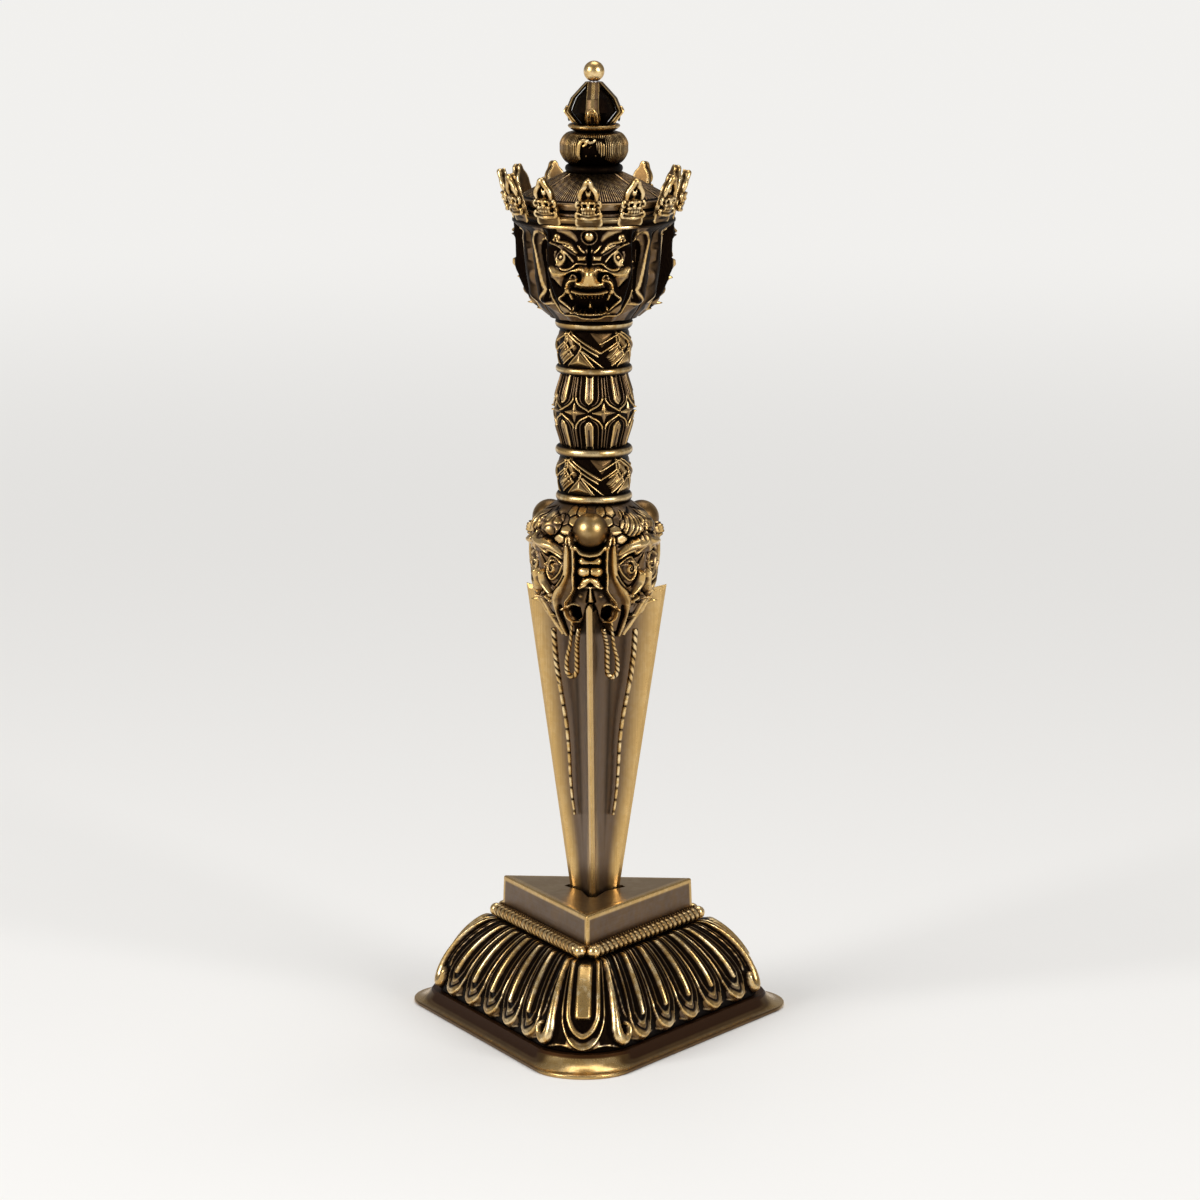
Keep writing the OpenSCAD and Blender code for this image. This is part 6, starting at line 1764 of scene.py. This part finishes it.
def make_finial(looks):
    """Half a thunderbolt: a collar, four kinked prongs with a leaf at each foot, a dark core and a ball."""
    polished = brass("Finial brass", looks, wear=0.02, darkness=0.1, polish=0.04, lilac=0.3, grain=0.5,
                     cloudy=0.3)
    make_collar_and_core(looks, polished)
    foot, top, reach = node_round("vajra_prongs")
    h = top - foot
    one = [prong(foot, h, reach), *prong_leaf(foot, h, reach)]
    parts = [(turned(verts, radians(-90 + 90 * k)), faces, relief)
             for k in range(4) for verts, faces, relief in one]
    cap = np.array([(1.1, top - 1.4), (2.0, top - 1.35), (2.05, top - 0.8), (1.9, top - 0.05),
                    (1.1, top - 0.02)])
    parts.append(skin(round_grid(cap[:, :1], round_angles(40), cap[:, 1:]), -0.4))
    obj = new_mesh("finial_prongs", *joined(parts), angle=35)
    settle(obj, "dagger", ["vajra_prongs"], polished)
    low, high = node_box("finial_ball")
    r = (high[0] - low[0]) / 2
    verts, faces, relief = ball_at([0, 0, high[2] - r], r - 0.01, 0.65, 56, 36)
    verts[:, 2] = np.maximum(verts[:, 2], low[2])
    obj = new_mesh("finial_knob", verts, faces, relief)
    settle(obj, "dagger", ["finial_ball"], brass("Knob brass", looks, wear=0.1, grain=0.5))


# The stage

AZIMUTH, PITCH = radians(3.64), radians(10.767)
STAND_OFF, EYE_HEIGHT = 1.2494, 0.343
NEAR_FLOOR, FAR_FLOOR = 0.1, 1.6
STUDIO_GREY = (0.30, 0.295, 0.29, 1)
# Name, watts, width and place of each soft lamp
LAMPS = (("left", 20, 0.8, (-1.25, -0.95, 0.85)), ("right", 15, 0.7, (1.2, -1.0, 0.75)),
         ("top", 13, 1.2, (0.1, 0.5, 1.9)))


def make_stage(looks):
    """A pale floor and backdrop, soft lamps and the camera."""
    bpy.ops.mesh.primitive_plane_add(size=24)
    floor = bpy.context.active_object
    floor.name = "floor"
    p = Paint("Pale floor")
    ray = {kind: Field(p, p.tree.nodes.new("ShaderNodeLightPath").outputs[kind])
           for kind in ("Is Camera Ray", "Is Glossy Ray")}
    # Away from the lamps the floor shows its own colour to the camera and to the metal
    away = p.node("ShaderNodeVectorMath", {0: p.node("ShaderNodeTexCoord", output=3)}, 1, operation="LENGTH")
    far = p.step(away, NEAR_FLOOR, FAR_FLOOR) * (ray["Is Camera Ray"] + ray["Is Glossy Ray"])
    p.feed(Base_Color=p.mix(far, rgba(looks.floor), (0, 0, 0, 1)), Roughness=0.7, Specular_IOR_Level=0.2,
           Emission_Color=p.mix(far, (0, 0, 0, 1), rgba(looks.floor)), Emission_Strength=1.0)
    floor.data.materials.append(p.material)
    world = bpy.data.worlds.new("Studio")
    bpy.context.scene.world = world
    world.use_nodes = True
    world.node_tree.nodes["Background"].inputs[0].default_value = STUDIO_GREY
    for name, power, size, place in LAMPS:
        lamp = bpy.data.lights.new(name, "AREA")
        lamp.energy, lamp.size = power, size
        obj = bpy.data.objects.new(name, lamp)
        bpy.context.scene.collection.objects.link(obj)
        obj.location = place
        obj.rotation_euler = (Vector((0, 0, 0.12)) - Vector(place)).to_track_quat("-Z", "Y").to_euler()
    camera = bpy.data.cameras.new("camera")
    camera.lens, camera.sensor_width, camera.shift_x = 158.1, 36.0, 0.005
    camera.clip_end = 50
    view = bpy.data.objects.new("camera", camera)
    bpy.context.scene.collection.objects.link(view)
    view.location = (STAND_OFF * sin(AZIMUTH), -STAND_OFF * cos(AZIMUTH), EYE_HEIGHT)
    view.rotation_euler = (pi / 2 - PITCH, 0, AZIMUTH)
    bpy.context.scene.camera = view
    bpy.context.scene.view_settings.view_transform = "Standard"


# Operators and panel

class Maker:
    """What the makers of the dagger's pieces share."""
    bl_options = {"REGISTER", "UNDO"}


class DAGGER_OT_stage(Maker, bpy.types.Operator):
    """Lays the pale floor and sets the lamps and the camera"""
    bl_idname = "dagger.stage"
    bl_label = "Set the stage"

    def execute(self, context):
        make_stage(context.scene.dagger_looks)
        return {"FINISHED"}


class DAGGER_OT_foot_plate(Maker, bpy.types.Operator):
    """Builds the three-cornered foot plate"""
    bl_idname = "dagger.foot_plate"
    bl_label = "Cast the foot plate"

    def execute(self, context):
        make_foot_plate(context.scene.dagger_looks)
        return {"FINISHED"}


class DAGGER_OT_lotus_skirt(Maker, bpy.types.Operator):
    """Builds the hollow skirt of lotus petals"""
    bl_idname = "dagger.lotus_skirt"
    bl_label = "Cast the lotus skirt"

    def execute(self, context):
        make_lotus_skirt(context.scene.dagger_looks, context.scene.dagger_stand)
        return {"FINISHED"}


class DAGGER_OT_rope_moulding(Maker, bpy.types.Operator):
    """Builds the ribbed roll, its balls and its beads"""
    bl_idname = "dagger.rope_moulding"
    bl_label = "Roll the rope moulding"

    def execute(self, context):
        make_rope_moulding(context.scene.dagger_looks, context.scene.dagger_stand)
        return {"FINISHED"}


class DAGGER_OT_plinth_block(Maker, bpy.types.Operator):
    """Builds the block and cuts the slot for the blade"""
    bl_idname = "dagger.plinth_block"
    bl_label = "Cut the plinth"

    def execute(self, context):
        make_plinth_block(context.scene.dagger_looks, context.scene.dagger_stand)
        return {"FINISHED"}


class DAGGER_OT_hidden_parts(Maker, bpy.types.Operator):
    """Gives the screws, the tip seat and the tie rod their metals"""
    bl_idname = "dagger.hidden_parts"
    bl_label = "Finish the inner parts"

    def execute(self, context):
        finish_hidden_parts(context.scene.dagger_looks)
        return {"FINISHED"}


class DAGGER_OT_blade(Maker, bpy.types.Operator):
    """Builds the three-edged blade"""
    bl_idname = "dagger.blade"
    bl_label = "Grind the blade"

    def execute(self, context):
        make_blade(context.scene.dagger_looks)
        return {"FINISHED"}


class DAGGER_OT_makara_head(Maker, bpy.types.Operator):
    """Builds the three makara faces over the blade"""
    bl_idname = "dagger.makara_head"
    bl_label = "Carve the makara head"

    def execute(self, context):
        make_makara_head(context.scene.dagger_looks)
        return {"FINISHED"}


class DAGGER_OT_forehead_jewels(Maker, bpy.types.Operator):
    """Builds the balls in their cups"""
    bl_idname = "dagger.forehead_jewels"
    bl_label = "Set the forehead balls"

    def execute(self, context):
        make_forehead_jewels(context.scene.dagger_looks)
        return {"FINISHED"}


class DAGGER_OT_whiskers(Maker, bpy.types.Operator):
    """Builds the hanging loops and the strands along the fins"""
    bl_idname = "dagger.whiskers"
    bl_label = "Twist the whiskers"

    def execute(self, context):
        make_whiskers(context.scene.dagger_looks, context.scene.dagger_sizes)
        return {"FINISHED"}


class DAGGER_OT_rings(Maker, bpy.types.Operator):
    """Builds the polished rings of the grip and the topknot"""
    bl_idname = "dagger.rings"
    bl_label = "Turn the rings"

    def execute(self, context):
        make_rings(context.scene.dagger_looks)
        return {"FINISHED"}


class DAGGER_OT_woven_bands(Maker, bpy.types.Operator):
    """Builds the two bands of interlaced straps"""
    bl_idname = "dagger.woven_bands"
    bl_label = "Weave the bands"

    def execute(self, context):
        make_woven_bands(context.scene.dagger_looks, context.scene.dagger_sizes)
        return {"FINISHED"}


class DAGGER_OT_lotus_grip(Maker, bpy.types.Operator):
    """Builds the grip's two rows of petals"""
    bl_idname = "dagger.lotus_grip"
    bl_label = "Carve the lotus grip"

    def execute(self, context):
        make_lotus_grip(context.scene.dagger_looks, context.scene.dagger_sizes)
        return {"FINISHED"}


class DAGGER_OT_faces_head(Maker, bpy.types.Operator):
    """Builds the head with its three wrathful faces"""
    bl_idname = "dagger.faces_head"
    bl_label = "Carve the three faces"

    def execute(self, context):
        make_faces_head(context.scene.dagger_looks)
        return {"FINISHED"}


class DAGGER_OT_skull_crown(Maker, bpy.types.Operator):
    """Builds the crown's band and its skull leaves"""
    bl_idname = "dagger.skull_crown"
    bl_label = "Set the crown"

    def execute(self, context):
        make_skull_crown(context.scene.dagger_looks, context.scene.dagger_sizes)
        return {"FINISHED"}


class DAGGER_OT_hair_cap(Maker, bpy.types.Operator):
    """Builds the combed hair cap"""
    bl_idname = "dagger.hair_cap"
    bl_label = "Comb the hair"

    def execute(self, context):
        make_hair_cap(context.scene.dagger_looks, context.scene.dagger_sizes)
        return {"FINISHED"}


class DAGGER_OT_topknot(Maker, bpy.types.Operator):
    """Builds the ribbed topknot and its ornament"""
    bl_idname = "dagger.topknot"
    bl_label = "Bind the topknot"

    def execute(self, context):
        make_topknot(context.scene.dagger_looks)
        return {"FINISHED"}


class DAGGER_OT_finial(Maker, bpy.types.Operator):
    """Builds the half thunderbolt and its ball"""
    bl_idname = "dagger.finial"
    bl_label = "Raise the finial"

    def execute(self, context):
        make_finial(context.scene.dagger_looks)
        return {"FINISHED"}


# In the order in which they are written and the pieces are built
MAKERS = tuple(Maker.__subclasses__())


class DAGGER_PT_panel(bpy.types.Panel):
    """Sizes, colours and makers of the dagger and its stand"""
    bl_idname = "DAGGER_PT_panel"
    bl_label = "Ritual dagger"
    bl_space_type = "VIEW_3D"
    bl_region_type = "UI"
    bl_category = "Dagger"

    def draw(self, context):
        layout = self.layout
        for group in (context.scene.dagger_looks, context.scene.dagger_stand, context.scene.dagger_sizes):
            box = layout.box()
            for key in group.bl_rna.properties.keys():
                if key not in ("rna_type", "name"):
                    box.prop(group, key)
        for maker in MAKERS:
            layout.operator(maker.bl_idname)


CLASSES = (DaggerLooks, StandSizes, DaggerSizes, *MAKERS, DAGGER_PT_panel)


def register():
    for cls in CLASSES:
        bpy.utils.register_class(cls)
    bpy.types.Scene.dagger_looks = bpy.props.PointerProperty(type=DaggerLooks)
    bpy.types.Scene.dagger_stand = bpy.props.PointerProperty(type=StandSizes)
    bpy.types.Scene.dagger_sizes = bpy.props.PointerProperty(type=DaggerSizes)


def unregister():
    for name in ("dagger_looks", "dagger_stand", "dagger_sizes"):
        delattr(bpy.types.Scene, name)
    for cls in reversed(CLASSES):
        bpy.utils.unregister_class(cls)


def main():
    register()
    for maker in MAKERS:
        getattr(bpy.ops.dagger, maker.bl_idname.split(".")[1])()


if __name__ == "__main__":
    main()
